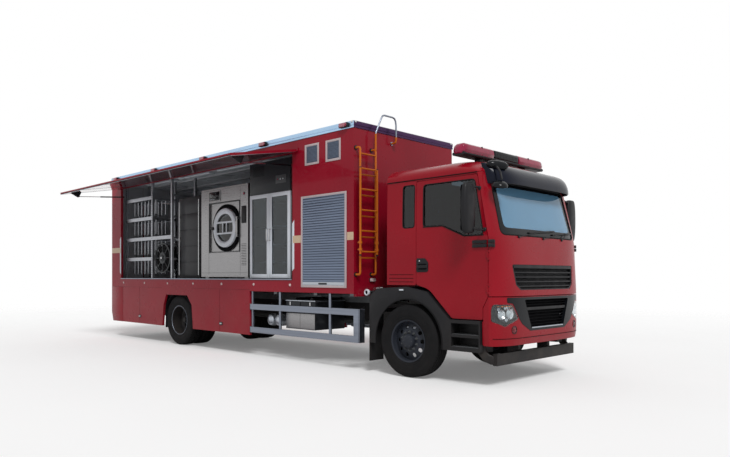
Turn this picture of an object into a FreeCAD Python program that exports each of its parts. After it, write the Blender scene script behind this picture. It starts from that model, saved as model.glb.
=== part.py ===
"""A mobile laundry truck: a two-axle rigid truck with a box body whose right side opens under a raised flap.

Frame of the model: +X forward, +Y left, +Z up, origin under the middle of the whole vehicle's outline on the ground.
Every piece is drawn in vehicle coordinates, which start on the ground under the middle of the front axle,
and each published sub-part is then placed at (axle_x, centre_y, 0).
"""
import FreeCAD, Part
import math
import os
import re
import Sketcher

SIZES = {
    # reach of the whole outline
    "front_reach": 1470, "box_rear": 8900, "box_front": 965, "mirror_out": 350, "handle_proud": 40,
    # chassis
    "wheelbase": 6000, "rail_out": 430, "rail_flange": 75, "rail_web": 8, "rail_low": 710, "rail_top": 980,
    "front_hang": 320, "rear_hang": 200, "cross_depth": 90, "cross_high": 180, "tow_radius": 22,
    "tyre_radius": 510, "tyre_wide": 292, "tyre_gap": 46, "wheel_face": 1190, "bead_radius": 286, "bead_gap": 0.3,
    "flange_radius": 300, "rim_wall": 9, "hub_radius": 95, "spindle_radius": 35, "run_gap": 0.06,
    "kingpin_radius": 25, "kingpin_out": 830, "fist_half": 60, "ear_thick": 45, "ear_gap": 1,
    "beam_half": 45, "beam_low": 385, "beam_high": 475, "spring_half": 38, "spring_low": 545, "spring_thick": 60,
    "spring_reach": 780, "casing_radius": 80, "bowl_radius": 210, "shaft_high": 640,
    # box body
    "box_half": 1250, "wall": 50, "box_low": 1150, "floor_low": 1110, "floor_plate": 60, "floor_top": 1350,
    "wall_top": 3640, "roof_thick": 50, "cornice_high": 115, "cornice_proud": 10, "cornice_deep": 75,
    "open_rear": 8440, "open_front": 2370, "open_low": 1370, "open_high": 3450,
    "skirt_front_a": 3520, "skirt_front_b": 5370, "skirt_rear_a": 6560, "skirt_low": 370, "tail_low": 593,
    "tail_start": 8360, "arch_high": 1030,
    "shutter_rear": 1884, "shutter_front": 1127, "shutter_low": 1250, "shutter_high": 2690, "frame_bar": 34,
    "vent_low": 3210, "vent_high": 3515, "vent_wide": 300, "vent_rear_a": 2036, "vent_rear_b": 1553,
    "partition": 40, "lamp_long": 150, "lamp_high": 70, "lamp_deep": 55,
    "rear_door_half": 450, "rear_door_high": 3250, "shut_gap": 6, "rear_window_half": 270,
    "rear_window_low": 2150, "rear_window_high": 2740,
    # side flap and its struts
    "flap_rear": 8600, "flap_front": 2210, "flap_long": 1350, "flap_thick": 40, "flap_droop": 10,
    "hinge_off": 20, "hinge_high": 3465, "hinge_radius": 8, "seat_gap": 0.3,
    "strut_pin_in": 60, "strut_pin_high": 3257, "strut_on_flap": 1044, "strut_below": 105, "strut_inset": 45,
    "cylinder_radius": 14, "cylinder_long": 560, "strut_rod_radius": 7, "eye_radius": 17, "eye_half": 9,
    # ladder
    "ladder_front": 850, "stile_radius": 17, "rung_radius": 13, "ladder_inset": 76, "ladder_wide": 345,
    "ladder_top": 3340, "ladder_low": 1440, "rung_pitch": 311, "rung_low": 1690, "coupling_radius": 45, "coupling_long": 90,
    "coupling_clear": 80, "coupling_high": 1200, "coupling_out": 780,
    "slide_apart": 42, "slide_beside": 46, "slide_low": 1718, "slide_high": 3030, "guide_low": 1750,
    # cab
    "cab_half": 1150, "cab_rear": 400, "panel": 55, "cab_floor_high": 1290, "side_top": 2870, "roof_edge": 2932, "crown": 3000,
    "screen_top_back": 270, "screen_top_z": 2640, "screen_low_back": 85, "screen_low_z": 1930,
    "door_rear": 130, "nose_deep": 210, "door_top": 2720, "door_low": 860,
    "bumper_low": 520, "nose_low": 1180,
    # equipment
    "washer_rear": 5370, "washer_front": 3830, "washer_low": 1400, "washer_high": 3130, "washer_inset": 200,
    "washer_deep": 1900, "drum_x": 4520, "drum_z": 2340, "drum_radius": 330, "door_ring": 375,
    "cabinet_rear": 3720, "cabinet_front": 2600, "cabinet_low": 1382, "cabinet_high": 2870, "cabinet_top": 3440,
    "cabinet_inset": 160, "cabinet_deep": 800, "pivot_radius": 5, "pivot_inset": 12, "pivot_long": 18,
    "rack_rear": 8440, "rack_mid": 7220, "rack_front": 6370, "rack_inset": 120, "rack_deep": 620,
    "rack_post": 50, "rack_beam": 75, "rack_low_tier": 1763, "tier_pitch": 450,
    "reel_radius": 330, "reel_hub": 120, "reel_half": 130, "reel_x": 6795, "reel_z": 1810, "reel_inset": 310,
}
DERIVED = {
    "rail_front": "front_reach - front_hang",
    "rail_rear": "box_rear - rear_hang",
    "door_front": "front_reach - nose_deep",
    "screen_top_x": "front_reach - screen_top_back",
    "screen_low_x": "front_reach - screen_low_back",
    "mirror_reach": "cab_half + mirror_out",
    "screen_half": "cab_half - 150",
    "hinge_out": "box_half + hinge_off",
    "flap_skin": "hinge_off - shut_gap",
    "flap_reach": "hinge_out + flap_long * cos(flap_droop) + (flap_thick - flap_skin) * sin(flap_droop)",
    "ladder_right": "box_half - ladder_inset",
    "ladder_left": "ladder_right - ladder_wide",
    "slide_front": "ladder_front - slide_apart",
    "slide_right": "ladder_right + slide_beside",
    "slide_left": "ladder_left - slide_beside",
    "washer_face": "box_half - washer_inset",
    "cabinet_face": "box_half - cabinet_inset",
    "rack_face": "box_half - rack_inset",
    "reel_y": "rack_face - reel_inset",
    "axle_x": "(box_rear + handle_proud - front_reach) / 2",
    "centre_y": "(flap_reach - mirror_reach) / 2",
}
EXPRESSION_WORDS = ("sin", "cos", "atan", "sqrt")
PLANES = {"XY_Plane": "z", "XZ_Plane": "y", "YZ_Plane": "x"}
ORIGIN = FreeCAD.Vector(0, 0, 0)
ALONG = {
    "x": FreeCAD.Rotation(FreeCAD.Vector(0, 1, 0), 90),
    "y": FreeCAD.Rotation(FreeCAD.Vector(1, 0, 0), -90),
    "z": FreeCAD.Rotation(),
}

doc = FreeCAD.newDocument("laundry_truck")
sheet = doc.addObject("Spreadsheet::Sheet", "Sizes")
published = []


def fill_sheet():
    """Writes each size as one plain number beside its name."""
    for row, (name, value) in enumerate(SIZES.items(), start=1):
        sheet.set("A%d" % row, name)
        sheet.set("B%d" % row, str(value))
        sheet.setAlias("B%d" % row, name)
    doc.recompute()


def bound(text):
    """Turns size names in an expression into references to the sheet, with each derived name worked out first."""
    def reference(match):
        word = match.group()
        if word in DERIVED:
            return "(" + bound(DERIVED[word]) + ")"
        return word if word in EXPRESSION_WORDS else "Sizes." + word
    return re.sub(r"[a-z_]+", reference, str(text))


def value_of(text):
    """The number that an expression has now."""
    return float(sheet.evalExpression(bound(text)))


def less(a, b):
    return "(%s) - (%s)" % (a, b)


def minus(a):
    return "-(%s)" % a


def place(thing, x, y, z, turn=None):
    """Puts an object at three expressions, turned by a fixed rotation."""
    if turn is not None:
        thing.Placement = FreeCAD.Placement(ORIGIN, turn)
    for axis, text in (("x", x), ("y", y), ("z", z)):
        thing.setExpression("Placement.Base." + axis, bound(text))


def box(x, y, z):
    """A block between a low and a high expression on each axis."""
    block = doc.addObject("Part::Box", "Block")
    block.setExpression("Length", bound(less(x[1], x[0])))
    block.setExpression("Width", bound(less(y[1], y[0])))
    block.setExpression("Height", bound(less(z[1], z[0])))
    place(block, x[0], y[0], z[0])
    return block


def rod(axis, span, first, second, radius):
    """A cylinder along an axis over a span, at the two other coordinates in x, y, z order."""
    bar = doc.addObject("Part::Cylinder", "Bar")
    bar.setExpression("Radius", bound(radius))
    bar.setExpression("Height", bound(less(span[1], span[0])))
    spots = {"x": (span[0], first, second), "y": (first, span[0], second), "z": (first, second, span[0])}
    place(bar, *spots[axis], turn=ALONG[axis])
    return bar


def fuse(*parts):
    joined = doc.addObject("Part::MultiFuse", "Joined")
    joined.Shapes = list(parts)
    return joined


def cut(base, *tools):
    result = doc.addObject("Part::Cut", "CutOut")
    result.Base = base
    result.Tool = tools[0] if len(tools) == 1 else fuse(*tools)
    return result


def mirrored(source):
    """The same piece on the vehicle's other side."""
    twin = doc.addObject("Part::Mirroring", "Twin")
    twin.Source = source
    twin.Normal = FreeCAD.Vector(0, 1, 0)
    return twin


def both_sides(source):
    return fuse(source, mirrored(source))


def alone(source):
    """A node of its own made from a piece that is also mirrored."""
    group = doc.addObject("Part::Compound", "Alone")
    group.Links = [source]
    return group


def publish(thing, label, x="0", y="0", z="0", turn=None):
    """Names a finished sub-part and moves it from vehicle coordinates into the model's frame."""
    if thing.TypeId == "Part::Box":
        thing = alone(thing)
    thing.Label = label
    place(thing, "axle_x + (%s)" % x, "centre_y + (%s)" % y, z, turn)
    published.append(thing)
    return thing


def new_body():
    return doc.addObject("PartDesign::Body", "Body")


def sketch_on(body, plane, offset="0"):
    """A sketch on one of the body's own origin planes, moved along the plane's normal."""
    sketch = body.newObject("Sketcher::SketchObject", "Sketch")
    support = [item for item in body.Origin.OriginFeatures if item.Role == plane][0]
    sketch.AttachmentSupport = [(support, "")]
    sketch.MapMode = "FlatFace"
    sketch.setExpression("AttachmentOffset.Base.z", bound(offset))
    return sketch


def outline(sketch, points):
    """A closed outline through corner points, each held by two bound distances from the sketch's origin."""
    spots = [FreeCAD.Vector(value_of(x), value_of(y), 0) for x, y in points]
    first = sketch.GeometryCount
    for start, end in zip(spots, spots[1:] + spots[:1]):
        sketch.addGeometry(Part.LineSegment(start, end), False)
    count = len(spots)
    for index in range(count):
        after = first + (index + 1) % count
        sketch.addConstraint(Sketcher.Constraint("Coincident", first + index, 2, after, 1))
    for index, (x, y) in enumerate(points):
        for kind, text, value in (("DistanceX", x, spots[index].x), ("DistanceY", y, spots[index].y)):
            row = sketch.addConstraint(Sketcher.Constraint(kind, -1, 1, first + index, 1, value))
            sketch.setExpression("Constraints[%d]" % row, bound(text))


def rectangle(sketch, x, y):
    outline(sketch, [(x[0], y[0]), (x[1], y[0]), (x[1], y[1]), (x[0], y[1])])


def ring(sketch, x, y, radius):
    """A circle held by its centre and radius."""
    middle = FreeCAD.Vector(value_of(x), value_of(y), 0)
    index = sketch.addGeometry(Part.Circle(middle, FreeCAD.Vector(0, 0, 1), value_of(radius)), False)
    for kind, text, value in (("DistanceX", x, middle.x), ("DistanceY", y, middle.y)):
        row = sketch.addConstraint(Sketcher.Constraint(kind, -1, 1, index, 3, value))
        sketch.setExpression("Constraints[%d]" % row, bound(text))
    row = sketch.addConstraint(Sketcher.Constraint("Radius", index, value_of(radius)))
    sketch.setExpression("Constraints[%d]" % row, bound(radius))


def pad(body, plane, span, draw):
    """Adds material between two expressions along the plane's normal axis."""
    flipped = plane == "XZ_Plane"
    sketch = sketch_on(body, plane, minus(span[1]) if flipped else span[0])
    draw(sketch)
    feature = body.newObject("PartDesign::Pad", "Pad")
    feature.Profile = sketch
    feature.setExpression("Length", bound(less(span[1], span[0])))
    return feature


def pocket(body, plane, span, draw):
    """Cuts material away between two expressions along the plane's normal axis."""
    flipped = plane == "XZ_Plane"
    sketch = sketch_on(body, plane, minus(span[0]) if flipped else span[1])
    draw(sketch)
    feature = body.newObject("PartDesign::Pocket", "Pocket")
    feature.Profile = sketch
    feature.setExpression("Length", bound(less(span[1], span[0])))
    return feature


def revolved(draw):
    """A body turned about its own Y axis: the sketch's x is the axial place, its y the radius."""
    body = new_body()
    sketch = sketch_on(body, "YZ_Plane")
    draw(sketch)
    feature = body.newObject("PartDesign::Revolution", "Turned")
    feature.Profile = sketch
    feature.ReferenceAxis = (sketch, ["H_Axis"])
    feature.Angle = 360
    return body


def plate(plane, span, points, holes=()):
    """A flat piece from its outline, with rectangular holes right through."""
    body = new_body()
    pad(body, plane, span, lambda sketch: outline(sketch, points))
    for hole in holes:
        pocket(body, plane, span, lambda sketch, spot=hole: rectangle(sketch, *spot))
    return body


# Chassis

def chassis_frame():
    web_in = "rail_out - rail_web"
    flange_in = "rail_out - rail_flange"
    rail = new_body()
    pad(rail, "YZ_Plane", (minus("rail_rear"), "rail_front"), lambda sketch: outline(sketch, [
        ("rail_out", "rail_low"), ("rail_out", "rail_top"), (flange_in, "rail_top"),
        (flange_in, "rail_top - rail_web"), (web_in, "rail_top - rail_web"),
        (web_in, "rail_low + rail_web"), (flange_in, "rail_low + rail_web"), (flange_in, "rail_low")]))
    pieces = [both_sides(rail)]
    middle = "(rail_low + rail_top) / 2"
    for place_x in ("rail_front - cross_depth", "-1750", "-3000", "-4300", "-wheelbase + 900", "-wheelbase - 900",
                    "-7700", "-rail_rear"):
        pieces.append(box((place_x, place_x + " + cross_depth"), (minus(web_in), web_in),
                          (middle + " - cross_high / 2", middle + " + cross_high / 2")))
    pieces.append(box(("rail_front + 120", "rail_front + 180"), ("-cab_half + 100", "cab_half - 100"), ("280", "430")))
    pieces.append(box(("-rail_rear", "-rail_rear + 60"), ("-box_half + 170", "box_half - 170"), ("440", "560")))
    front_drop = box(("rail_front - 40", "rail_front + 120"), ("rail_out - 60", "rail_out"), ("300", "rail_low"))
    rear_drop = box(("-rail_rear", "-rail_rear + 60"), ("rail_out - 60", "rail_out"), ("560", "rail_low"))
    pieces.append(both_sides(fuse(front_drop, rear_drop)))
    for tank_x in ("-3180", "-2960"):
        pieces.append(rod("y", ("-1000", "-rail_out - 40"), tank_x, "650", "98"))
        pieces.append(box((tank_x + " - 60", tank_x + " + 60"), ("-rail_out - 42", "-rail_out"), ("600", "800")))
    pieces.append(rod("z", ("430", "rail_low"), "1190", "rail_out - 30", "20"))
    solid = cut(fuse(*pieces[:-1]), rod("z", ("200", "500"), "rail_front + 150", "0", "tow_radius"),
                rod("z", ("400", "600"), "-rail_rear + 30", "0", "tow_radius"))
    publish(solid, "chassis_frame")


def front_axle():
    low, high = "tyre_radius - fist_half", "tyre_radius + fist_half"
    beam = box(("-beam_half", "beam_half"), ("-kingpin_out + 55", "kingpin_out - 55"), ("beam_low", "beam_high"))
    fist = cut(fuse(rod("z", (low, high), "0", "kingpin_out", "55"),
                    box(("-beam_half", "beam_half"), ("kingpin_out - 130", "kingpin_out - 58"), ("beam_low", high)),
                    box(("-beam_half", "beam_half"), ("kingpin_out - 58", "kingpin_out - 30"), (low, high))),
               rod("z", (low + " - 100", high + " + 100"), "0", "kingpin_out", "kingpin_radius + run_gap"))
    spring_y = ("rail_out - 30 - spring_half", "rail_out - 30 + spring_half")
    spring = box(("-spring_reach", "spring_reach"), spring_y, ("spring_low", "spring_low + spring_thick"))
    seat = box(("-beam_half", "beam_half"), spring_y, ("beam_high", "spring_low"))
    hangers = [box((end, end + " + 70"), spring_y, ("spring_low + spring_thick", "rail_low"))
               for end in ("-spring_reach", "spring_reach - 70")]
    publish(fuse(beam, both_sides(fuse(fist, spring, seat, *hangers))), "front_axle")


def rear_axle():
    stub = "wheel_face - 2 * tyre_wide - tyre_gap - 40"
    casing = rod("y", (minus(stub), stub), "-wheelbase", "tyre_radius", "casing_radius")
    bowl = rod("y", ("-130", "130"), "-wheelbase", "tyre_radius", "bowl_radius")
    spindle = rod("y", (stub, "wheel_face - 130"), "-wheelbase", "tyre_radius", "spindle_radius + 15")
    spring_y = ("rail_out - 30 - spring_half", "rail_out - 30 + spring_half")
    low = "tyre_radius + casing_radius - 5"
    spring = box(("-wheelbase - 850", "-wheelbase + 850"), spring_y, (low, low + " + 90"))
    hangers = [box((end, end + " + 70"), spring_y, (low + " + 90", "rail_low"))
               for end in ("-wheelbase - 850", "-wheelbase + 780")]
    nose = rod("x", ("-wheelbase", "-wheelbase + bowl_radius + 60"), "0", "shaft_high", "70")
    publish(fuse(casing, bowl, nose, both_sides(fuse(spindle, spring, *hangers))), "rear_axle")


def engine():
    block = box(("-650", "620"), ("-330", "330"), ("640", "1240"))
    gearbox = box(("-1500", "-650"), ("-210", "210"), ("620", "1010"))
    shaft = rod("x", ("-wheelbase + bowl_radius + 60", "-1500"), "0", "shaft_high", "55")
    publish(fuse(block, gearbox, shaft), "engine")


def steering_knuckle(side, label):
    low, high = "tyre_radius - fist_half - ear_gap", "tyre_radius + fist_half + ear_gap"
    reach = "kingpin_out + 75"
    ears = [rod("z", (low + " - ear_thick", low), "0", "kingpin_out", "55"),
            rod("z", (high, high + " + ear_thick"), "0", "kingpin_out", "55"),
            box(("-50", "50"), ("kingpin_out", reach), (low + " - ear_thick", low)),
            box(("-50", "50"), ("kingpin_out", reach), (high, high + " + ear_thick")),
            box(("-50", "50"), ("kingpin_out + 57", reach), (low, high))]
    pin = rod("z", (low, high), "0", "kingpin_out", "kingpin_radius")
    spindle = rod("y", (reach, "wheel_face - 60"), "0", "tyre_radius", "spindle_radius")
    arm = box(("-230", "-50"), ("kingpin_out - 5", "kingpin_out + 35"), (low + " - ear_thick", low + " - 15"))
    knuckle = fuse(*ears, pin, spindle, arm)
    publish(alone(knuckle) if side > 0 else mirrored(knuckle), label)


def tyre_profile(sketch, middle="0"):
    half = "tyre_wide / 2"
    outline(sketch, [
        (middle + " - " + half + " + 22", "bead_radius + bead_gap"),
        (middle + " + " + half + " - 22", "bead_radius + bead_gap"),
        (middle + " + " + half + " - 22", "flange_radius + 3"),
        (middle + " + " + half + " - 8", "flange_radius + 14"),
        (middle + " + " + half, "(bead_radius + tyre_radius) / 2 + 15"),
        (middle + " + " + half + " - 14", "tyre_radius - 26"),
        (middle + " + " + half + " - 34", "tyre_radius - 5"),
        (middle + " + " + half + " - 90", "tyre_radius"),
        (middle + " - " + half + " + 90", "tyre_radius"),
        (middle + " - " + half + " + 34", "tyre_radius - 5"),
        (middle + " - " + half + " + 14", "tyre_radius - 26"),
        (middle + " - " + half, "(bead_radius + tyre_radius) / 2 + 15"),
        (middle + " - " + half + " + 8", "flange_radius + 14"),
        (middle + " - " + half + " + 22", "flange_radius + 3")])


def rim_profile(sketch, middle, disc, root, bore, hub_span):
    """A rim barrel with two flanges, a dished disc and a hub, as one closed section from bore to flange."""
    half = "tyre_wide / 2 - 22"
    inner = "bead_radius - rim_wall"
    lip = "flange_radius - 2"
    far, near = middle + " + " + half, middle + " - (" + half + ")"
    outline(sketch, [
        (hub_span[0], bore), (hub_span[1], bore), (hub_span[1], "hub_radius"),
        (disc + " + 12", "hub_radius"), (disc + " + 12", "hub_radius + 60"), (root + " + 16", inner), (far, inner),
        (far + " + 8", lip), (far + " + 1", lip), (far + " + 1", "bead_radius"), (near + " - 1", "bead_radius"),
        (near + " - 1", lip), (near + " - 8", lip), (near, inner), (root, inner), (disc, "hub_radius + 60"),
        (disc, "hub_radius"), (hub_span[0], "hub_radius")])


def hand_holes(body, count):
    hole = pocket(body, "XZ_Plane", ("-40", "240"), lambda sketch: ring(sketch, "hub_radius + 108", "0", "30"))
    around = body.newObject("PartDesign::PolarPattern", "Around")
    around.Originals = [hole]
    around.Axis = ([item for item in body.Origin.OriginFeatures if item.Role == "Y_Axis"][0], [""])
    around.Angle = 360
    around.Occurrences = count
    body.Tip = around


def front_wheel(side, name):
    tyre = revolved(tyre_profile)
    rim = revolved(lambda sketch: rim_profile(sketch, "0", "72", "20", "spindle_radius + run_gap",
                                              ("tyre_wide / 2 - 200", "tyre_wide / 2 - 10")))
    hand_holes(rim, 10)
    turn = FreeCAD.Rotation(FreeCAD.Vector(0, 0, 1), 0 if side > 0 else 180)
    middle = "%d * (wheel_face - tyre_wide / 2)" % side
    publish(tyre, "tyre_" + name, "0", middle, "tyre_radius", turn)
    publish(rim, "rim_" + name, "0", middle, "tyre_radius", turn)


def rear_wheels(side, name):
    """Twin tyres and rims; the body's own origin lies midway between the two tyres."""
    offset = "((tyre_wide + tyre_gap) / 2)"
    bore = "spindle_radius + 15 + run_gap"
    turn = FreeCAD.Rotation(FreeCAD.Vector(0, 0, 1), 0 if side > 0 else 180)
    tyres = fuse(revolved(lambda sketch: tyre_profile(sketch, offset)),
                 revolved(lambda sketch: tyre_profile(sketch, minus(offset))))
    outer = revolved(lambda sketch: rim_profile(sketch, offset, "0", "tyre_gap / 2 + 40", bore, ("-20", offset + " - 60")))
    hand_holes(outer, 10)
    middle = "%d * (wheel_face - tyre_wide - tyre_gap / 2)" % side
    publish(tyres, "tyres_rear_" + name, "-wheelbase", middle, "tyre_radius", turn)
    publish(both_sides(outer), "rims_rear_" + name, "-wheelbase", middle, "tyre_radius", turn)


def fuel_tank():
    tank = box(("-2700", "-1500"), ("rail_out + 50", "1120"), ("470", "1040"))
    rounded = doc.addObject("Part::Fillet", "Rounded")
    rounded.Base = tank
    doc.recompute()
    long_edges = [number for number, edge in enumerate(tank.Shape.Edges, start=1)
                  if abs(edge.tangentAt(edge.FirstParameter).x) > 0.99]
    rounded.Edges = [(number, 70.0, 70.0) for number in long_edges]
    straps = [box((start, start + " + 60"), ("rail_out", "rail_out + 50"), ("540", "960"))
              for start in ("-2500", "-1760")]
    publish(fuse(rounded, *straps), "fuel_tank")


def battery_box():
    case = box(("-2523", "-1826"), ("-1160", "-rail_out - 50"), ("540", "1040"))
    lid = box(("-2530", "-1819"), ("-1167", "-rail_out - 50"), ("1040", "1058"))
    bracket = box(("-2450", "-1900"), ("-rail_out - 50", "-rail_out"), ("rail_low", "rail_top - 30"))
    publish(fuse(case, lid, bracket), "battery_box")


def side_guards():
    skin = ("box_half - 28", "box_half")
    rails = [box(("-skirt_front_a + 10", "-905"), skin, span) for span in (("825", "925"), ("420", "520"))]
    end = box(("-905", "-880"), ("box_half - 120", "box_half"), ("420", "925"))
    posts = [box((middle + " - 22", middle + " + 22"), ("box_half - 56", "box_half - 28"), ("420", "box_low"))
             for middle in ("-3480", "-2718", "-1507")]
    publish(both_sides(fuse(*rails, end, *posts)), "side_guards")


def mudguards():
    arch = new_body()
    across = ("-wheel_face + 5", "-875")
    pad(arch, "XZ_Plane", across, lambda sketch: outline(sketch, [
        ("-712", "170"), ("-712", "1130"), ("-560", "1240"), ("-20", "1268"), ("330", "1204"), ("704", "842"),
        ("704", "440"), ("692", "440"), ("692", "836"), ("325", "1191"), ("-20", "1255"), ("-555", "1228"),
        ("-700", "1124"), ("-700", "170")]))
    step = cut(box(("704", "1165"), across, ("440", "846")), box(("730", "1145"), ("-1250", "-980"), ("500", "620")),
               box(("730", "1145"), ("-1250", "-980"), ("660", "800")))
    arms = [box(("-700", "-650"), ("-880", "-rail_out"), ("880", "940")),
            box(("1060", "1110"), ("-880", "-rail_out"), ("730", "800"))]
    publish(both_sides(fuse(arch, step, *arms)), "mudguards")


# Cab

def screen_x(z):
    """Where the outer face of the windscreen's frame lies at a height above its lower edge."""
    return "(screen_low_x - ((%s) - screen_low_z) * (screen_low_x - screen_top_x) / (screen_top_z - screen_low_z))" % z


NOSE_X = "front_reach - 12"
DOOR_OUTLINE = [("door_rear", "cab_floor_high + 8"), ("345", "1240"), ("door_front - 544", "door_low"), ("door_front", "door_low"),
                ("door_front", "1900"), ("door_front - 165", "door_top"), ("door_rear", "door_top")]
DOOR_WINDOW = [("door_rear + 118", "2090"), ("door_rear + 430", "2090"), ("door_front - 360", "1940"), ("door_front - 62", "1940"),
               ("door_front - 200", "door_top - 58"), ("door_rear + 118", "door_top - 58")]


def cab_front():
    shell = new_body()
    top_x = screen_x("side_top")
    pad(shell, "XZ_Plane", ("-cab_half", "cab_half"), lambda sketch: outline(sketch, [
        (NOSE_X, "nose_low"), ("screen_low_x", "screen_low_z"), (top_x, "side_top"), (top_x + " - panel", "side_top"),
        ("screen_low_x - panel", "screen_low_z"), (NOSE_X + " - panel - 20", "nose_low")]))
    pocket(shell, "YZ_Plane", ("900", "front_reach"), lambda sketch: outline(sketch, [
        ("-screen_half", "1965"), ("screen_half", "1965"), ("screen_half - 15", "screen_top_z - 10"),
        ("-screen_half + 15", "screen_top_z - 10")]))
    pocket(shell, "YZ_Plane", (NOSE_X + " - 40", "front_reach + 50"), lambda sketch: outline(sketch, [
        ("-650", "1232"), ("650", "1232"), ("790", "1572"), ("-790", "1572")]))
    toe = box((NOSE_X + " - panel - 60", NOSE_X + " - panel"), ("-560", "560"), ("1010", "nose_low"))
    ledge = box(("door_front - 20", NOSE_X + " - panel"), ("-560", "560"), ("1010", "1070"))
    publish(fuse(shell, toe, ledge), "cab_front")


DOOR_PIN = ("(door_front + 2)", "(-cab_half - 8)")
BARREL_LOWS = ("1120", "1640")


def cab_sides():
    side = new_body()
    pad(side, "XZ_Plane", ("-cab_half", "-cab_half + panel"), lambda sketch: outline(sketch, [
        ("-cab_rear", "cab_floor_high"), ("door_rear - shut_gap", "cab_floor_high"),
        ("door_rear - shut_gap", "door_top + shut_gap"), ("door_front - 164", "door_top + shut_gap"),
        ("door_front + shut_gap + 2", "1902"), ("door_front + shut_gap + 2", "nose_low"),
        (NOSE_X + " - panel - 20", "nose_low"), ("screen_low_x - panel", "screen_low_z"),
        (screen_x("side_top") + " - panel", "side_top"), ("-cab_rear", "side_top")]))
    pocket(side, "XZ_Plane", ("-cab_half", "-cab_half + panel"), lambda sketch: rectangle(
        sketch, ("-110", "95"), ("2090", "2680")))
    x, y = DOOR_PIN
    lugs = [box((x + " - 1", x + " + 28"), ("-cab_half - 15", "-cab_half"), span)
            for low in BARREL_LOWS for span in ((low + " - 22", low + " - seat_gap"),
                                                (low + " + 80 + seat_gap", low + " + 102"))]
    pins = [rod("z", (low + " - 10", low + " + 90"), x, y, "pivot_radius - 1") for low in BARREL_LOWS]
    publish(both_sides(fuse(side, *lugs, *pins)), "cab_sides")


def cab_floor():
    floor = new_body()
    front = "door_front - 20"
    pad(floor, "XZ_Plane", ("-cab_half + panel + 10", "cab_half - panel - 10"), lambda sketch: outline(sketch, [
        ("-cab_rear + panel", "cab_floor_high"), ("690", "cab_floor_high"), ("880", "1010"), (front, "1010"),
        (front, "1070"), ("915", "1070"), ("725", "cab_floor_high + 60"),
        ("-cab_rear + panel", "cab_floor_high + 60")]))
    mount = box(("-260", "-180"), ("rail_out - 60", "rail_out"), ("rail_top", "cab_floor_high"))
    front_mount = box(("1000", "1080"), ("rail_out - 60", "rail_out"), ("rail_top", "1010"))
    publish(fuse(floor, both_sides(fuse(mount, front_mount))), "cab_floor")


def cab_rear_wall():
    publish(box(("-cab_rear", "-cab_rear + panel"), ("-cab_half + panel", "cab_half - panel"),
                ("cab_floor_high", "side_top")), "cab_rear_wall")


def arc_points(half, low, high, steps):
    """Points of a shallow crown from one side to the other, highest in the middle."""
    spots = []
    for index in range(steps + 1):
        share = 1 - 2 * index / steps
        spots.append(("%s * %.4f" % (half, share), "%s + (%s - (%s)) * %.4f" % (low, high, low, 1 - share ** 2)))
    return spots


def cab_roof():
    roof = new_body()
    outer = arc_points("(cab_half - 25)", "roof_edge", "crown", 8)
    inner = arc_points("(cab_half - panel - 20)", "side_top + 22", "(crown - 40)", 8)
    pad(roof, "YZ_Plane", ("-cab_rear", screen_x("side_top")), lambda sketch: outline(
        sketch, [("cab_half", "side_top")] + outer + [("-cab_half", "side_top"), ("-cab_half + panel", "side_top")]
        + inner[::-1] + [("cab_half - panel", "side_top")]))
    publish(roof, "cab_roof")


def pane(points, span):
    return plate("XZ_Plane", span, points)


def cab_glass():
    screen = new_body()
    low, high = "1965", "screen_top_z - 10"
    back = " - panel + 20"
    pad(screen, "XZ_Plane", ("-screen_half", "screen_half"), lambda sketch: outline(sketch, [
        (screen_x(low) + back, low), (screen_x(high) + back, high), (screen_x(high) + back + " + 8", high),
        (screen_x(low) + back + " + 8", low)]))
    trimmed = new_body()
    pad(trimmed, "YZ_Plane", ("900", "front_reach"), lambda sketch: outline(sketch, [
        ("-screen_half", low), ("screen_half", low), ("screen_half - 15", high), ("-screen_half + 15", high)]))
    fitted = doc.addObject("Part::Common", "Fitted")
    fitted.Base = screen
    fitted.Tool = trimmed
    quarter = box(("-110", "95"), ("-cab_half + 20", "-cab_half + 26"), ("2090", "2680"))
    publish(fuse(fitted, both_sides(quarter)), "cab_glass")


def cab_door(side, name):
    shell = new_body()
    pad(shell, "XZ_Plane", ("-cab_half", "-cab_half + panel"), lambda sketch: outline(sketch, DOOR_OUTLINE))
    pocket(shell, "XZ_Plane", ("-cab_half", "-cab_half + panel"), lambda sketch: outline(sketch, DOOR_WINDOW))
    x, y = DOOR_PIN
    barrels = [cut(fuse(rod("z", (low, low + " + 80"), x, y, "7"),
                        box(("door_front - 30", x), (y, "-cab_half"), (low, low + " + 80"))),
                   rod("z", (low + " - 10", low + " + 90"), x, y, "pivot_radius - 1 + run_gap")) for low in BARREL_LOWS]
    leaf = fuse(shell, *barrels)
    glass = pane(DOOR_WINDOW, ("-cab_half + 20", "-cab_half + 26"))
    skin = "-cab_half"
    handle = box(("door_rear + 20", "door_rear + 180"), (skin + " - 32", skin), ("1500", "1560"))
    deflector = box(("door_front - 225", "door_front - 6"), (skin + " - 30", skin), ("1775", "1875"))
    arms = [box(("door_front - 140", "door_front - 110"), ("-mirror_reach + 60", skin), span) for span in (("2520", "2550"), ("1990", "2020"))]
    housing = box(("door_front - 180", "door_front - 90"), ("-mirror_reach", "-mirror_reach + 200"), ("1945", "2580"))
    trim = fuse(handle, deflector, housing, *arms)
    for piece, label in ((leaf, "door_" + name), (glass, "door_glass_" + name), (trim, "door_mirror_" + name)):
        publish(mirrored(piece) if side > 0 else alone(piece), label)


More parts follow.
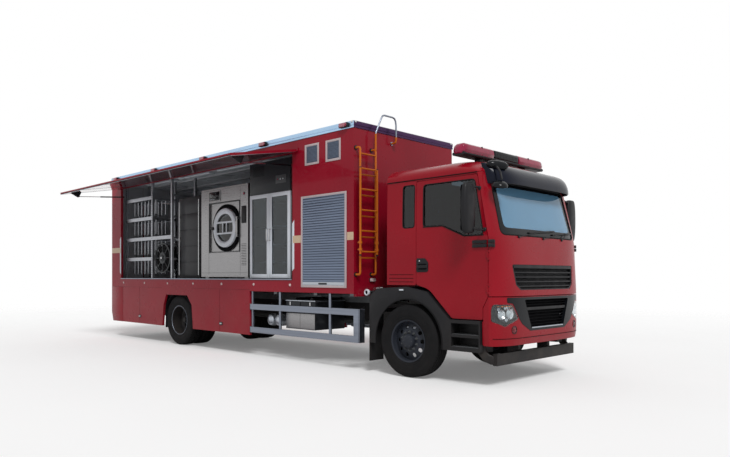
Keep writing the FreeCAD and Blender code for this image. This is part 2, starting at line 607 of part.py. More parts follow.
def grille():
    face = NOSE_X
    frame = plate("YZ_Plane", (face + " - 40", face + " - 22"),
                  [("-650", "1232"), ("650", "1232"), ("790", "1572"), ("-790", "1572")])
    bars = [box((face + " - 22", face + " + 2"), ("-640", "640"), (z, z + " + 26")) for z in ("1262", "1342", "1422")]
    top = box((face + " - 22", face + " - 8"), ("-740", "740"), ("1500", "1552"))
    low = box(("front_reach - 50", "front_reach - 30"), ("-590", "590"), ("730", "1110"))
    slats = [box(("front_reach - 30", "front_reach - 6"), ("-590", "590"), (z, z + " + 22"))
             for z in ("770", "850", "930", "1010", "1080")]
    publish(fuse(fuse(frame, top, *bars), fuse(low, *slats)), "grille")


BUMPER_OUTER = [("front_reach", "cab_half - 530"), ("front_reach - 30", "cab_half - 300"),
                ("front_reach - 90", "cab_half - 110"), ("door_front + 15", "cab_half")]
BUMPER_INNER = [("door_front + 15", "cab_half - panel"), ("front_reach - 140", "cab_half - 150"),
                ("front_reach - 85", "cab_half - 325"), ("front_reach - panel", "cab_half - 545")]


def bumper():
    band = new_body()
    mirrored_points = lambda points: [(x, minus(y)) for x, y in points]
    pad(band, "XY_Plane", ("bumper_low", "nose_low"), lambda sketch: outline(
        sketch, BUMPER_OUTER + BUMPER_INNER + mirrored_points(BUMPER_INNER)[::-1]
        + mirrored_points(BUMPER_OUTER)[::-1]))
    pocket(band, "YZ_Plane", ("front_reach - 200", "front_reach + 10"), lambda sketch: rectangle(
        sketch, ("-590", "590"), ("730", "1110")))
    for span in (("cab_half - 450", "cab_half + 50"), ("-cab_half - 50", "-cab_half + 450")):
        pocket(band, "YZ_Plane", ("door_front + 60", "front_reach + 10"), lambda sketch, sides=span: rectangle(
            sketch, sides, ("765", "1055")))
    ends = both_sides(box(("door_front - 85", "door_front + 15"), ("cab_half - panel", "cab_half"), ("bumper_low", "door_low - 20")))
    stay = both_sides(box(("rail_front + seat_gap", "front_reach - panel"), ("rail_out - 60", "rail_out"), ("rail_low", "rail_low + 20")))
    publish(fuse(band, ends, stay), "bumper")


def headlamps():
    lamp = new_body()
    pad(lamp, "XY_Plane", ("765", "1055"), lambda sketch: outline(sketch, [
        ("front_reach - 12", "cab_half - 450"), ("front_reach - 34", "cab_half - 300"),
        ("front_reach - 92", "cab_half - 114"), ("door_front + 60", "cab_half - 45"),
        ("door_front + 60", "cab_half - 130"), ("front_reach - 130", "cab_half - 170"),
        ("front_reach - 75", "cab_half - 330"), ("front_reach - 60", "cab_half - 450")]))
    publish(both_sides(lamp), "headlamps")


def visor():
    blade = new_body()
    pad(blade, "XZ_Plane", ("-cab_half + 60", "cab_half - 60"), lambda sketch: outline(sketch, [
        (screen_x("2862"), "2862"), ("1290", "2850"), ("1448", "2625"), ("1430", "2600"), ("1272", "2822"),
        (screen_x("2826"), "2826")]))
    publish(blade, "visor")


def light_bar():
    base = box(("660", "840"), ("-cab_half + 70", "cab_half - 70"), ("crown + 18", "crown + 60"))
    lenses = [box(("640", "860"), span, ("crown + 60", "crown + 185"))
              for span in (("-cab_half + 40", "-330"), ("330", "cab_half - 40"))]
    centre = box(("660", "840"), ("-330", "330"), ("crown + 60", "crown + 150"))
    foot_low = "roof_edge + 0.75 * (crown - roof_edge) + 1.3"
    foot = box(("710", "790"), ("540", "600"), (foot_low, "crown + 18"))
    publish(fuse(base, *lenses, centre, both_sides(foot)), "light_bar")


def seats():
    floor = "cab_floor_high + 60"
    seat = fuse(box(("130", "560"), ("-830", "-330"), (floor, floor + " + 250")),
                box(("90", "620"), ("-850", "-310"), (floor + " + 250", floor + " + 390")),
                box(("-20", "110"), ("-840", "-320"), (floor + " + 330", floor + " + 1000")),
                box(("0", "90"), ("-710", "-450"), (floor + " + 1000", floor + " + 1210")))
    publish(both_sides(seat), "seats")


def dashboard():
    board = new_body()
    inner = "(" + NOSE_X + " - panel - 20 - (%s - nose_low) * (" + NOSE_X + " - 20 - screen_low_x) / (screen_low_z - nose_low))"
    pad(board, "XZ_Plane", ("-cab_half + panel + 20", "cab_half - panel - 20"), lambda sketch: outline(sketch, [
        ("1040", "1590"), ("1090", "1820"), (inner % "1850", "1850"), (inner % "1420", "1420"), ("1180", "1420")]))
    column = doc.addObject("Part::Cylinder", "Column")
    column.Radius = 35
    column.Height = 330
    place(column, "1130", "560", "1650", FreeCAD.Rotation(FreeCAD.Vector(0, 1, 0), -50))
    wheel = doc.addObject("Part::Torus", "SteeringWheel")
    wheel.Radius1 = 215
    wheel.Radius2 = 16
    place(wheel, "883", "560", "1857", FreeCAD.Rotation(FreeCAD.Vector(0, 1, 0), -50))
    spokes = [doc.addObject("Part::Box", "Spoke") for _ in range(2)]
    for spoke, (length, width) in zip(spokes, ((420, 40), (40, 420))):
        spoke.Length, spoke.Width, spoke.Height = length, width, 16
    tilt = FreeCAD.Rotation(FreeCAD.Vector(0, 1, 0), -50)
    for spoke in spokes:
        corner = tilt.multVec(FreeCAD.Vector(-spoke.Length.Value / 2, -spoke.Width.Value / 2, -8))
        place(spoke, "883 + (%.3f)" % corner.x, "560 + (%.3f)" % corner.y, "1857 + (%.3f)" % corner.z, tilt)
    publish(fuse(board, column, wheel, *spokes), "dashboard")


# Box body

SIDE_OUTLINE = [
    ("-box_rear", "wall_top"), ("-box_rear", "tail_low"), ("-tail_start", "skirt_low"), ("-skirt_rear_a", "skirt_low"),
    ("-skirt_rear_a + 50", "arch_high - 225"), ("-skirt_rear_a + 150", "arch_high"),
    ("-skirt_front_b - 220", "arch_high"), ("-skirt_front_b - 50", "arch_high - 190"),
    ("-skirt_front_b", "skirt_low"), ("-skirt_front_a", "skirt_low"), ("-skirt_front_a", "box_low"),
    ("-box_front", "box_low"), ("-box_front", "wall_top")]
SHUTTER_HOLE = (("-shutter_rear", "-shutter_front"), ("shutter_low", "shutter_high"))
VENT_HOLES = [(("-%s" % rear, "-%s + vent_wide" % rear), ("vent_low", "vent_high"))
              for rear in ("vent_rear_a", "vent_rear_b")]
INSIDE = ("-box_half + wall", "box_half - wall")


def box_wall(side):
    """One side of the box with its skirts, cut for the roller shutter and the two vents."""
    span = ("-box_half", "-box_half + wall")
    wall = new_body()
    pad(wall, "XZ_Plane", span, lambda sketch: outline(sketch, SIDE_OUTLINE))
    for hole in [SHUTTER_HOLE] + VENT_HOLES:
        pocket(wall, "XZ_Plane", span, lambda sketch, spot=hole: rectangle(sketch, *spot))
    if side > 0:
        publish(mirrored(wall), "box_left_wall")
        return
    pocket(wall, "XZ_Plane", span, lambda sketch: rectangle(
        sketch, ("-open_rear", "-open_front"), ("open_low - 20", "open_high")))
    strip = box(("-flap_rear", "-flap_front"), ("-hinge_out + hinge_radius + seat_gap", "-box_half"),
                ("hinge_high - 8", "hinge_high + 50"))
    lugs = [strut_lug(end) for end in (1, -1)]
    publish(fuse(wall, strip, *lugs), "box_right_wall")


def strut_plane(end):
    """X of a strut's middle plane: end is 1 at the rear jamb and -1 at the front one."""
    return "(-open_rear + strut_inset)" if end > 0 else "(-open_front - strut_inset)"


def beside(end, near, far):
    """A span on the jamb's side of a strut's middle plane."""
    middle = strut_plane(end)
    if end > 0:
        return ("%s - (%s)" % (middle, far), "%s - (%s)" % (middle, near))
    return ("%s + (%s)" % (middle, near), "%s + (%s)" % (middle, far))


def strut_lug(end):
    y, z = "-hinge_out + strut_pin_in", "strut_pin_high"
    block = box(beside(end, "eye_half + 2", "strut_inset"), (y + " - 18", y + " + 18"), (z + " - 18", z + " + 18"))
    pin = rod("x", beside(end, "-eye_half", "eye_half + 2"), y, z, "strut_rod_radius - 1")
    return fuse(block, pin)


def box_front_wall():
    wall = box(("-box_front - wall", "-box_front"), INSIDE, ("floor_low", "wall_top"))
    x, z = "-box_front + coupling_clear", "coupling_high"
    face = "-coupling_out"
    coupling = rod("y", (face + " - coupling_long", face), x, z, "coupling_radius")
    collar = rod("y", (face, face + " + 50"), x, z, "coupling_radius + 10")
    pipe = rod("x", ("-box_front", x), face + " + 25", z, "coupling_radius - 20")
    publish(fuse(wall, coupling, collar, pipe), "box_front_wall")


def box_rear_wall():
    gap = "shut_gap"
    door = ("-rear_door_half - " + gap, "rear_door_half + " + gap)
    wall = cut(box(("-box_rear", "-box_rear + wall"), INSIDE, ("tail_low + 60", "wall_top")),
               box(("-box_rear - 10", "-box_rear + wall + 10"), door, ("floor_top + 4", "rear_door_high + " + gap)))
    lamp = box(("-box_rear - 28", "-box_rear"), ("700", "1180"), ("760", "880"))
    publish(fuse(wall, both_sides(lamp)), "box_rear_wall")


def rear_door():
    hole = [("-rear_window_half", "rear_window_low"), ("rear_window_half", "rear_window_low"),
            ("rear_window_half", "rear_window_high"), ("-rear_window_half", "rear_window_high")]
    leaf = new_body()
    span = ("-box_rear", "-box_rear + wall - 10")
    pad(leaf, "YZ_Plane", span, lambda sketch: rectangle(
        sketch, ("-rear_door_half", "rear_door_half"), ("floor_top + 10", "rear_door_high")))
    pocket(leaf, "YZ_Plane", ("-box_rear", "-box_rear + 16"), lambda sketch: outline(sketch, hole))
    pocket(leaf, "YZ_Plane", ("-box_rear + 22", "-box_rear + wall"), lambda sketch: outline(sketch, hole))
    handle = box(("-box_rear - handle_proud", "-box_rear"), ("-rear_door_half + 60", "-rear_door_half + 90"), ("1750", "1950"))
    hinges = [rod("z", (z, z + " + 120"), "-box_rear - 9", "rear_door_half + 3", "9") for z in ("1500", "2300", "3000")]
    ties = [box(("-box_rear - 6", "-box_rear"), ("rear_door_half - 50", "rear_door_half - 2"), (z, z + " + 120"))
            for z in ("1500", "2300", "3000")]
    publish(fuse(leaf, handle, *hinges, *ties), "rear_door")


def box_roof():
    publish(box(("-box_rear + wall", "-box_front - wall"), INSIDE, ("wall_top - roof_thick", "wall_top")), "box_roof")


def box_floor():
    deck = box(("-box_rear + wall", "-box_front - wall"), INSIDE, ("floor_top - floor_plate", "floor_top"))
    bearers = [box((x, x + " + 80"), INSIDE, ("floor_low", "floor_top - floor_plate"))
               for x in ("-box_front - wall - 80", "-1900", "-2900", "-3900", "-4900", "-5700", "-6600", "-7600",
                         "-box_rear + wall")]
    runner = box(("-rail_rear", "-box_front - wall"), ("rail_out - rail_flange", "rail_out"), ("rail_top", "floor_low"))
    partition = box(("-open_front", "-open_front + partition"), INSIDE, ("floor_top", "wall_top - roof_thick"))
    publish(fuse(deck, *bearers, both_sides(runner), partition), "box_floor")


def aluminium_trim():
    out = "cornice_proud"
    ring_body = cut(box(("-box_rear - " + out, "-box_front + " + out), ("-box_half - " + out, "box_half + " + out),
                        ("wall_top", "wall_top + cornice_high")),
                    box(("-box_rear - " + out + " + cornice_deep", "-box_front + " + out + " - cornice_deep"),
                        ("-box_half - " + out + " + cornice_deep", "box_half + " + out + " - cornice_deep"),
                        ("wall_top - 10", "wall_top + cornice_high + 10")))
    sill = box(("-open_rear", "-open_front"), ("-box_half - 14", "-box_half + wall"), ("open_low - 20", "open_low"))
    publish(fuse(ring_body, sill), "aluminium_trim")


def warning_lamps():
    face = "box_half + cornice_proud"
    low = "wall_top + 22"
    lamps = [box((x, x + " + lamp_long"), (face, face + " + lamp_deep"), (low, low + " + lamp_high"))
             for x in ("-box_rear + 190", "-6945", "-5055", "-3185", "-1225")]
    front = box(("-box_front", "-box_front + 30"), ("-box_half + 370", "-box_half + 440"), ("1330", "1380"))
    publish(fuse(both_sides(fuse(*lamps)), front), "warning_lamps")


def louvres():
    """Roller shutter and vents in the side walls, each filling its hole with a slightly proud frame."""
    pieces = []
    for (x_low, x_high), (z_low, z_high) in [SHUTTER_HOLE] + VENT_HOLES:
        panel = box((x_low, x_high), ("-box_half + 10", "-box_half + 28"), (z_low, z_high))
        frame = cut(box((x_low + " - 14", x_high + " + 14"), ("-box_half - 8", "-box_half"),
                        (z_low + " - 14", z_high + " + 14")),
                    box((x_low + " + frame_bar - 14", x_high + " - frame_bar + 14"), ("-box_half - 20", "-box_half + 5"),
                        (z_low + " + frame_bar - 14", z_high + " - frame_bar + 14")))
        liner = cut(box((x_low, x_high), ("-box_half", "-box_half + 10"), (z_low, z_high)),
                    box((x_low + " + frame_bar - 14", x_high + " - frame_bar + 14"), ("-box_half - 20", "-box_half + 15"),
                        (z_low + " + frame_bar - 14", z_high + " - frame_bar + 14")))
        pieces += [panel, frame, liner]
    publish(both_sides(fuse(*pieces)), "louvres")


# Side flap with its struts

def side_flap():
    skin_in = minus("flap_skin")
    x = ("-flap_rear", "-flap_front")
    panel = box(x, ("-flap_long", "-25"), (skin_in, skin_in + " + flap_thick"))
    leaf = box(x, ("-25", "0"), ("-4", "4"))
    knuckle = rod("x", x, "0", "0", "hinge_radius")
    gussets = []
    for end in (1, -1):
        gussets.append(plate("YZ_Plane", beside(end, "eye_half + 3", "eye_half + 11"), [
            ("-strut_on_flap - 160", skin_in), ("-strut_on_flap - 16", "-strut_below - 16"),
            ("-strut_on_flap + 16", "-strut_below - 16"), ("-strut_on_flap + 90", skin_in)]))
    flap = publish(fuse(panel, leaf, knuckle, *gussets), "side_flap", "0", "-hinge_out", "hinge_high",
                   FreeCAD.Rotation(FreeCAD.Vector(1, 0, 0), 10))
    flap.setExpression("Placement.Rotation.Angle", bound("flap_droop"))


PIN_Y = "(-hinge_out - strut_on_flap * cos(flap_droop) + strut_below * sin(flap_droop))"
PIN_Z = "(hinge_high - strut_on_flap * sin(flap_droop) - strut_below * cos(flap_droop))"
BODY_PIN_Y = "(-hinge_out + strut_pin_in)"
STRUT_LONG = "sqrt((%s - %s)^2 + (strut_pin_high - %s)^2)" % (BODY_PIN_Y, PIN_Y, PIN_Z)
STRUT_ANGLE = "atan((strut_pin_high - %s) / (%s - %s))" % (PIN_Z, BODY_PIN_Y, PIN_Y)


def struts():
    cylinders, rods = [], []
    for end in (1, -1):
        middle = strut_plane(end)
        eye = (middle + " - eye_half", middle + " + eye_half")
        barrel = fuse(rod("y", ("-cylinder_long", "-eye_radius - 18"), middle, "0", "cylinder_radius"),
                      rod("y", ("-eye_radius - 18", "-eye_radius + 3"), middle, "0", "eye_half - 1"),
                      rod("x", eye, "0", "0", "eye_radius"))
        cylinders.append(cut(barrel, rod("x", (middle + " - 40", middle + " + 40"), "0", "0",
                                         "strut_rod_radius - 1 + run_gap"),
                             rod("y", ("-cylinder_long - 10", "-eye_radius - 25"), middle, "0", "strut_rod_radius + 0.3")))
        rods.append(fuse(rod("y", (minus(STRUT_LONG) + " + eye_radius - 3", minus(STRUT_LONG) + " + 780"), middle, "0",
                             "strut_rod_radius"),
                         rod("x", eye, minus(STRUT_LONG), "0", "eye_radius")))
    for pieces, label in ((cylinders, "strut_cylinders"), (rods, "strut_rods")):
        strut = publish(fuse(*pieces), label, "0", BODY_PIN_Y, "strut_pin_high",
                        FreeCAD.Rotation(FreeCAD.Vector(1, 0, 0), 4))
        strut.setExpression("Placement.Rotation.Angle", bound(STRUT_ANGLE))


# Ladder

def slide_guide(side, low):
    """A half sleeve on the fixed stile that the sliding stile runs in: side is 1 on the right and -1 on the left."""
    fixed, sliding = ("-ladder_right", "-slide_right") if side > 0 else ("-ladder_left", "-slide_left")
    edge = sliding + (" - %d * (stile_radius + 10)" % side)
    span = (edge, sliding) if side > 0 else (sliding, edge)
    arm_span = (edge, fixed) if side > 0 else (fixed, edge)
    high = low + " + 40"
    sleeve = cut(box(("-ladder_front - stile_radius", "-slide_front + stile_radius + 8"), span, (low, high)),
                 rod("z", (low + " - 10", high + " + 10"), "-slide_front", sliding, "stile_radius + seat_gap"))
    arm = box(("-ladder_front - stile_radius", "-ladder_front + stile_radius"), arm_span, (low, high))
    return fuse(sleeve, arm)


def ladder():
    x = "-ladder_front"
    stiles = [rod("z", ("ladder_low", "ladder_top"), x, minus(y), "stile_radius") for y in ("ladder_right", "ladder_left")]
    stays = [rod("x", ("-box_front", x), minus(y), z, "stile_radius")
             for y in ("ladder_right", "ladder_left") for z in ("ladder_low", "ladder_top")]
    rungs = [rod("y", ("-ladder_right", "-ladder_left"), x, "rung_low + %d * rung_pitch" % index, "rung_radius")
             for index in range(6)]
    hoop_y, hoop_z = ("-ladder_left", "-315"), "3900"
    hoop = [rod("z", ("ladder_top", hoop_z), x, hoop_y[0], "rung_radius"),
            rod("z", ("3512", hoop_z), x, hoop_y[1], "rung_radius"),
            rod("y", hoop_y, x, hoop_z, "rung_radius"),
            rod("x", ("-box_front", x), hoop_y[1], "3512", "rung_radius")]
    guides = [slide_guide(side, z) for side in (1, -1) for z in ("guide_low", "guide_low + 100")]
    publish(fuse(*stiles, *stays, *rungs, *hoop, *guides), "ladder")


def ladder_slide():
    x = "-slide_front"
    stiles = [rod("z", ("slide_low", "slide_high"), x, minus(y), "stile_radius") for y in ("slide_right", "slide_left")]
    rungs = [rod("y", ("-slide_right", "-slide_left"), x, "slide_low + 60 + %d * (slide_high - slide_low - 60) / 4" % index,
                 "rung_radius") for index in range(5)]
    publish(fuse(*stiles, *rungs), "ladder_slide")


# Equipment

DOOR_HINGE = ("(-drum_x + door_ring + 22)", "(-washer_face - 36)")


def washer():
    face, back = "-washer_face", "-washer_face + washer_deep"
    body = new_body()
    x, z = ("-washer_rear", "-washer_front"), ("washer_low", "washer_high")
    pad(body, "XZ_Plane", (face, back), lambda sketch: rectangle(sketch, x, z))
    pocket(body, "XZ_Plane", (face, face + " + 640"), lambda sketch: ring(sketch, "-drum_x", "drum_z", "drum_radius"))
    pocket(body, "XZ_Plane", (face, face + " + 22"), lambda sketch: rectangle(
        sketch, ("-washer_rear + 270", "-washer_front - 240"), ("drum_z - 470", "drum_z + 510")))
    feet = [box((start, start + " + 120"), span, ("floor_top", "washer_low"))
            for start in ("-washer_rear + 60", "-washer_front - 180")
            for span in ((face + " + 60", face + " + 180"), (back + " - 180", back + " - 60"))]
    panel = box(("-washer_rear + 270", "-washer_rear + 670"), (face + " - 14", face), ("2870", "3080"))
    hinge_x, hinge_y = DOOR_HINGE
    lugs = [box((hinge_x + " - 16", hinge_x + " + 16"), (hinge_y + " - 16", face + " + 22"), span)
            for span in (("drum_z + 150 + seat_gap", "drum_z + 190"), ("drum_z - 190", "drum_z - 150 - seat_gap"))]
    pin = rod("z", ("drum_z - 160", "drum_z + 160"), hinge_x, hinge_y, "pivot_radius")
    publish(fuse(body, *feet, panel, *lugs, pin), "washer")


def washer_door():
    face = "-washer_face"
    span = (face + " - 58", face + " + 10")
    disc = rod("y", span, "-drum_x", "drum_z", "door_ring")
    bowl = rod("y", (face + " + 5", face + " + 110"), "-drum_x", "drum_z", "drum_radius - 45")
    hinge = cut(rod("z", ("drum_z - 150", "drum_z + 150"), *DOOR_HINGE, "14"),
                rod("z", ("drum_z - 170", "drum_z + 170"), *DOOR_HINGE, "pivot_radius + run_gap"))
    arm = box(("-drum_x + door_ring - 60", "-drum_x + door_ring + 12"), (face + " - 50", face + " - 26"),
              ("drum_z - 120", "drum_z + 120"))
    latch = box(("-drum_x - door_ring - 60", "-drum_x - door_ring + 60"), (face + " - 80", face + " - 50"),
                ("drum_z - 30", "drum_z + 30"))
    publish(fuse(disc, bowl, hinge, arm, latch), "washer_door")


def leaf_pivot(end):
    """The upright pin that a glazed leaf turns on, near its outer edge."""
    x = "-cabinet_rear + 2 + pivot_inset" if end > 0 else "-cabinet_front - 2 - pivot_inset"
    return x, "-cabinet_face - 5 + pivot_inset"


def drying_cabinet():
    face, back = "-cabinet_face", "-cabinet_face + cabinet_deep"
    x = ("-cabinet_rear", "-cabinet_front")
    body = new_body()
    pad(body, "XZ_Plane", (face + " + 40", back), lambda sketch: rectangle(sketch, x, ("floor_top", "cabinet_top")))
    pocket(body, "XZ_Plane", (face + " + 40", back + " - 40"), lambda sketch: rectangle(
        sketch, (x[0] + " + 40", x[1] + " - 40"), ("cabinet_low + 40", "cabinet_high - 40")))
    front = (face, face + " + 40")
    pivots = [leaf_pivot(end) for end in (1, -1)]
    head = cut(box(x, front, ("cabinet_high + shut_gap", "cabinet_top")),
               *[rod("z", ("cabinet_high", "cabinet_high + shut_gap + 40"), *spot, "pivot_radius + run_gap") for spot in pivots])
    plinth = cut(box(x, front, ("floor_top", "cabinet_low - shut_gap")),
                 *[rod("z", ("floor_top - 10", "cabinet_low"), *spot, "pivot_radius + run_gap") for spot in pivots])
    rail = rod("x", (x[0] + " + 40", x[1] + " - 40"), "(%s + %s) / 2" % (face, back), "cabinet_high - 140", "16")
    publish(fuse(body, head, plinth, rail), "drying_cabinet")


def cabinet_door(end):
    """One glazed leaf: end is 1 for the rear leaf and -1 for the front one."""
    face = "-cabinet_face"
    middle = "(-(cabinet_rear + cabinet_front) / 2)"
    x = ("-cabinet_rear + 2", middle + " - 3") if end > 0 else (middle + " + 3", "-cabinet_front - 2")
    z = ("cabinet_low", "cabinet_high")
    leaf = new_body()
    pad(leaf, "XZ_Plane", (face + " - 5", face + " + 33"), lambda sketch: rectangle(sketch, x, z))
    pane_x, pane_z = (x[0] + " + 75", x[1] + " - 75"), (z[0] + " + 80", z[1] + " - 80")
    pocket(leaf, "XZ_Plane", (face + " - 5", face + " + 11"), lambda sketch: rectangle(sketch, pane_x, pane_z))
    pocket(leaf, "XZ_Plane", (face + " + 17", face + " + 33"), lambda sketch: rectangle(sketch, pane_x, pane_z))
    grip_x = middle + (" - 45" if end > 0 else " + 25")
    grip = box((grip_x, grip_x + " + 20"), (face + " - 45", face + " - 5"), ("2040", "2240"))
    pins = [rod("z", span, *leaf_pivot(end), "pivot_radius")
            for span in (("cabinet_high", "cabinet_high + shut_gap + pivot_long"),
                         ("cabinet_low - shut_gap - pivot_long", "cabinet_low"))]
    publish(fuse(leaf, grip, *pins), "cabinet_door_rear" if end > 0 else "cabinet_door_front")


def racks():
    face, back = "-rack_face", "-rack_face + rack_deep"
    top = "wall_top - roof_thick"
    post_x = ["-rack_rear", "-rack_mid - rack_post / 2", "-rack_front - rack_post"]
    pieces = []
    for x in post_x:
        for y in (face, back + " - rack_post"):
            pieces.append(box((x, x + " + rack_post"), (y, y + " + rack_post"), ("floor_top", top)))
    tiers = ["rack_low_tier + %d * tier_pitch" % index for index in range(4)]
    for z in tiers:
        for x in post_x:
            pieces.append(box((x, x + " + rack_post"), (face + " + rack_post", back + " - rack_post"), (z, z + " + 40")))
        for y in (face, back + " - rack_post"):
            pieces.append(box((post_x[0] + " + rack_post", post_x[1]), (y, y + " + 30"), (z, z + " + rack_beam")))
        for index in range(7):
            x = post_x[0] + " + rack_post + %d * (rack_rear - rack_mid - 1.5 * rack_post) / 7 + 60" % index
            for y in (face + " + 180", back + " - 200"):
                pieces.append(rod("z", (z + " - 300", z + " + 20"), x, y, "14"))
            pieces.append(box((x + " - 14", x + " + 14"), (face + " + 30", back + " - rack_post"), (z + " + 10", z + " + 34")))
    reel_tier = tiers[1]
    for y in (face, back + " - rack_post"):
        pieces.append(box((post_x[1] + " + rack_post", post_x[2]), (y, y + " + 30"), (reel_tier, reel_tier + " + rack_beam")))
    reel_post = box(("-reel_x - 40", "-reel_x + 40"), (back + " - rack_post", back + " - rack_post + 30"),
                    ("floor_top", reel_tier))
    axle = rod("y", ("-reel_y - reel_half - 20", back + " - rack_post + 10"), "-reel_x", "reel_z", "25")
    publish(fuse(*pieces, reel_post, axle), "racks")


def hose_reel():
    reel = revolved(lambda sketch: outline(sketch, [
        ("-reel_half", "25 + run_gap"), ("reel_half", "25 + run_gap"), ("reel_half", "reel_radius"),
        ("reel_half - 10", "reel_radius"), ("reel_half - 10", "reel_hub"), ("-reel_half + 10", "reel_hub"),
        ("-reel_half + 10", "reel_radius"), ("-reel_half", "reel_radius")]))
    publish(reel, "hose_reel", "-reel_x", "-reel_y", "reel_z")


def rear_cabinet():
    publish(box(("-6800", "-6440"), ("-450", "450"), ("floor_top", "3150")), "rear_cabinet")


def check_and_write():
    """Stops on a failed object or an unsound shape, and otherwise writes one STEP file for each sub-part."""
    doc.recompute()
    failed = [item.Name for item in doc.Objects if "Invalid" in item.State or "Error" in item.State]
    if failed:
        raise RuntimeError("failed objects: %s" % failed)
    os.makedirs("parts", exist_ok=True)
    for item in published:
        if item.Shape.isNull() or not item.Shape.isValid():
            raise RuntimeError("bad shape: " + item.Label)
        item.Shape.exportStep(os.path.join("parts", item.Label + ".step"))
        print(item.Label, len(item.Shape.Solids), round(item.Shape.Volume / 1e6, 2), "litres")


def build():
    fill_sheet()
    chassis_frame()
    front_axle()
    rear_axle()
    engine()
    for side, name in ((-1, "right"), (1, "left")):
        steering_knuckle(side, "knuckle_" + name)
        front_wheel(side, "front_" + name)
        rear_wheels(side, name)
        cab_door(side, name)
        box_wall(side)
    for make in (fuel_tank, battery_box, side_guards, mudguards, cab_front, cab_sides, cab_floor, cab_rear_wall,
                 cab_roof, cab_glass, grille, bumper, headlamps, visor, light_bar, seats, dashboard, box_front_wall,
                 box_rear_wall, rear_door, box_roof, box_floor, aluminium_trim, warning_lamps, louvres, side_flap,
                 struts, ladder, ladder_slide, washer, washer_door, drying_cabinet, racks, hose_reel, rear_cabinet):
        make()
    for end in (1, -1):
        cabinet_door(end)
    check_and_write()


build()
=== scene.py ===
"""Looks of the mobile laundry truck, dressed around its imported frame.

Places are in vehicle coordinates: metres, x forward from the front axle, y to the left of the middle,
z up from the ground. Form.build() moves them into the shared frame.
"""
from math import ceil, copysign, cos, dist, hypot, pi, radians, sin, sqrt, tan

import bmesh
import bpy
from mathutils import Matrix, Quaternion, Vector
from mathutils.geometry import delaunay_2d_cdt


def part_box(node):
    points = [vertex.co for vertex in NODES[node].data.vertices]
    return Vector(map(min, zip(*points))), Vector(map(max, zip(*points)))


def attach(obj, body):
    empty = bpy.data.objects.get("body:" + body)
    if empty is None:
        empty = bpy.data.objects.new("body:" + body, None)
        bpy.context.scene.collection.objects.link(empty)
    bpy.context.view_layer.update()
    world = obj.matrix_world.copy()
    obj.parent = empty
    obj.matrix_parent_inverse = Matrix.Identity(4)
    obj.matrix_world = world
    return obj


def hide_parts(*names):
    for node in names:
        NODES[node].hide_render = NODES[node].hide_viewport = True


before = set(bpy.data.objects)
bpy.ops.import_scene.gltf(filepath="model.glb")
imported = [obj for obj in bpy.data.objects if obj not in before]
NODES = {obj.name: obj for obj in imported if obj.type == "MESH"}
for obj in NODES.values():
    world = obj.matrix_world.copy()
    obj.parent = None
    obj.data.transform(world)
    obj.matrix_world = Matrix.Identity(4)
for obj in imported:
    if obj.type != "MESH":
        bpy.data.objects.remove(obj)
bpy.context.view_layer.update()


def wheel_middle(node):
    low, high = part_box(node)
    return (low + high) / 2


ORIGIN = (wheel_middle("tyre_front_right") + wheel_middle("tyre_front_left")) / 2
ORIGIN.z = 0
SHARP_ANGLE = radians(34)
X, Y, Z = Vector((1, 0, 0)), Vector((0, 1, 0)), Vector((0, 0, 1))
RIGHT = Y * -1


# Shapes

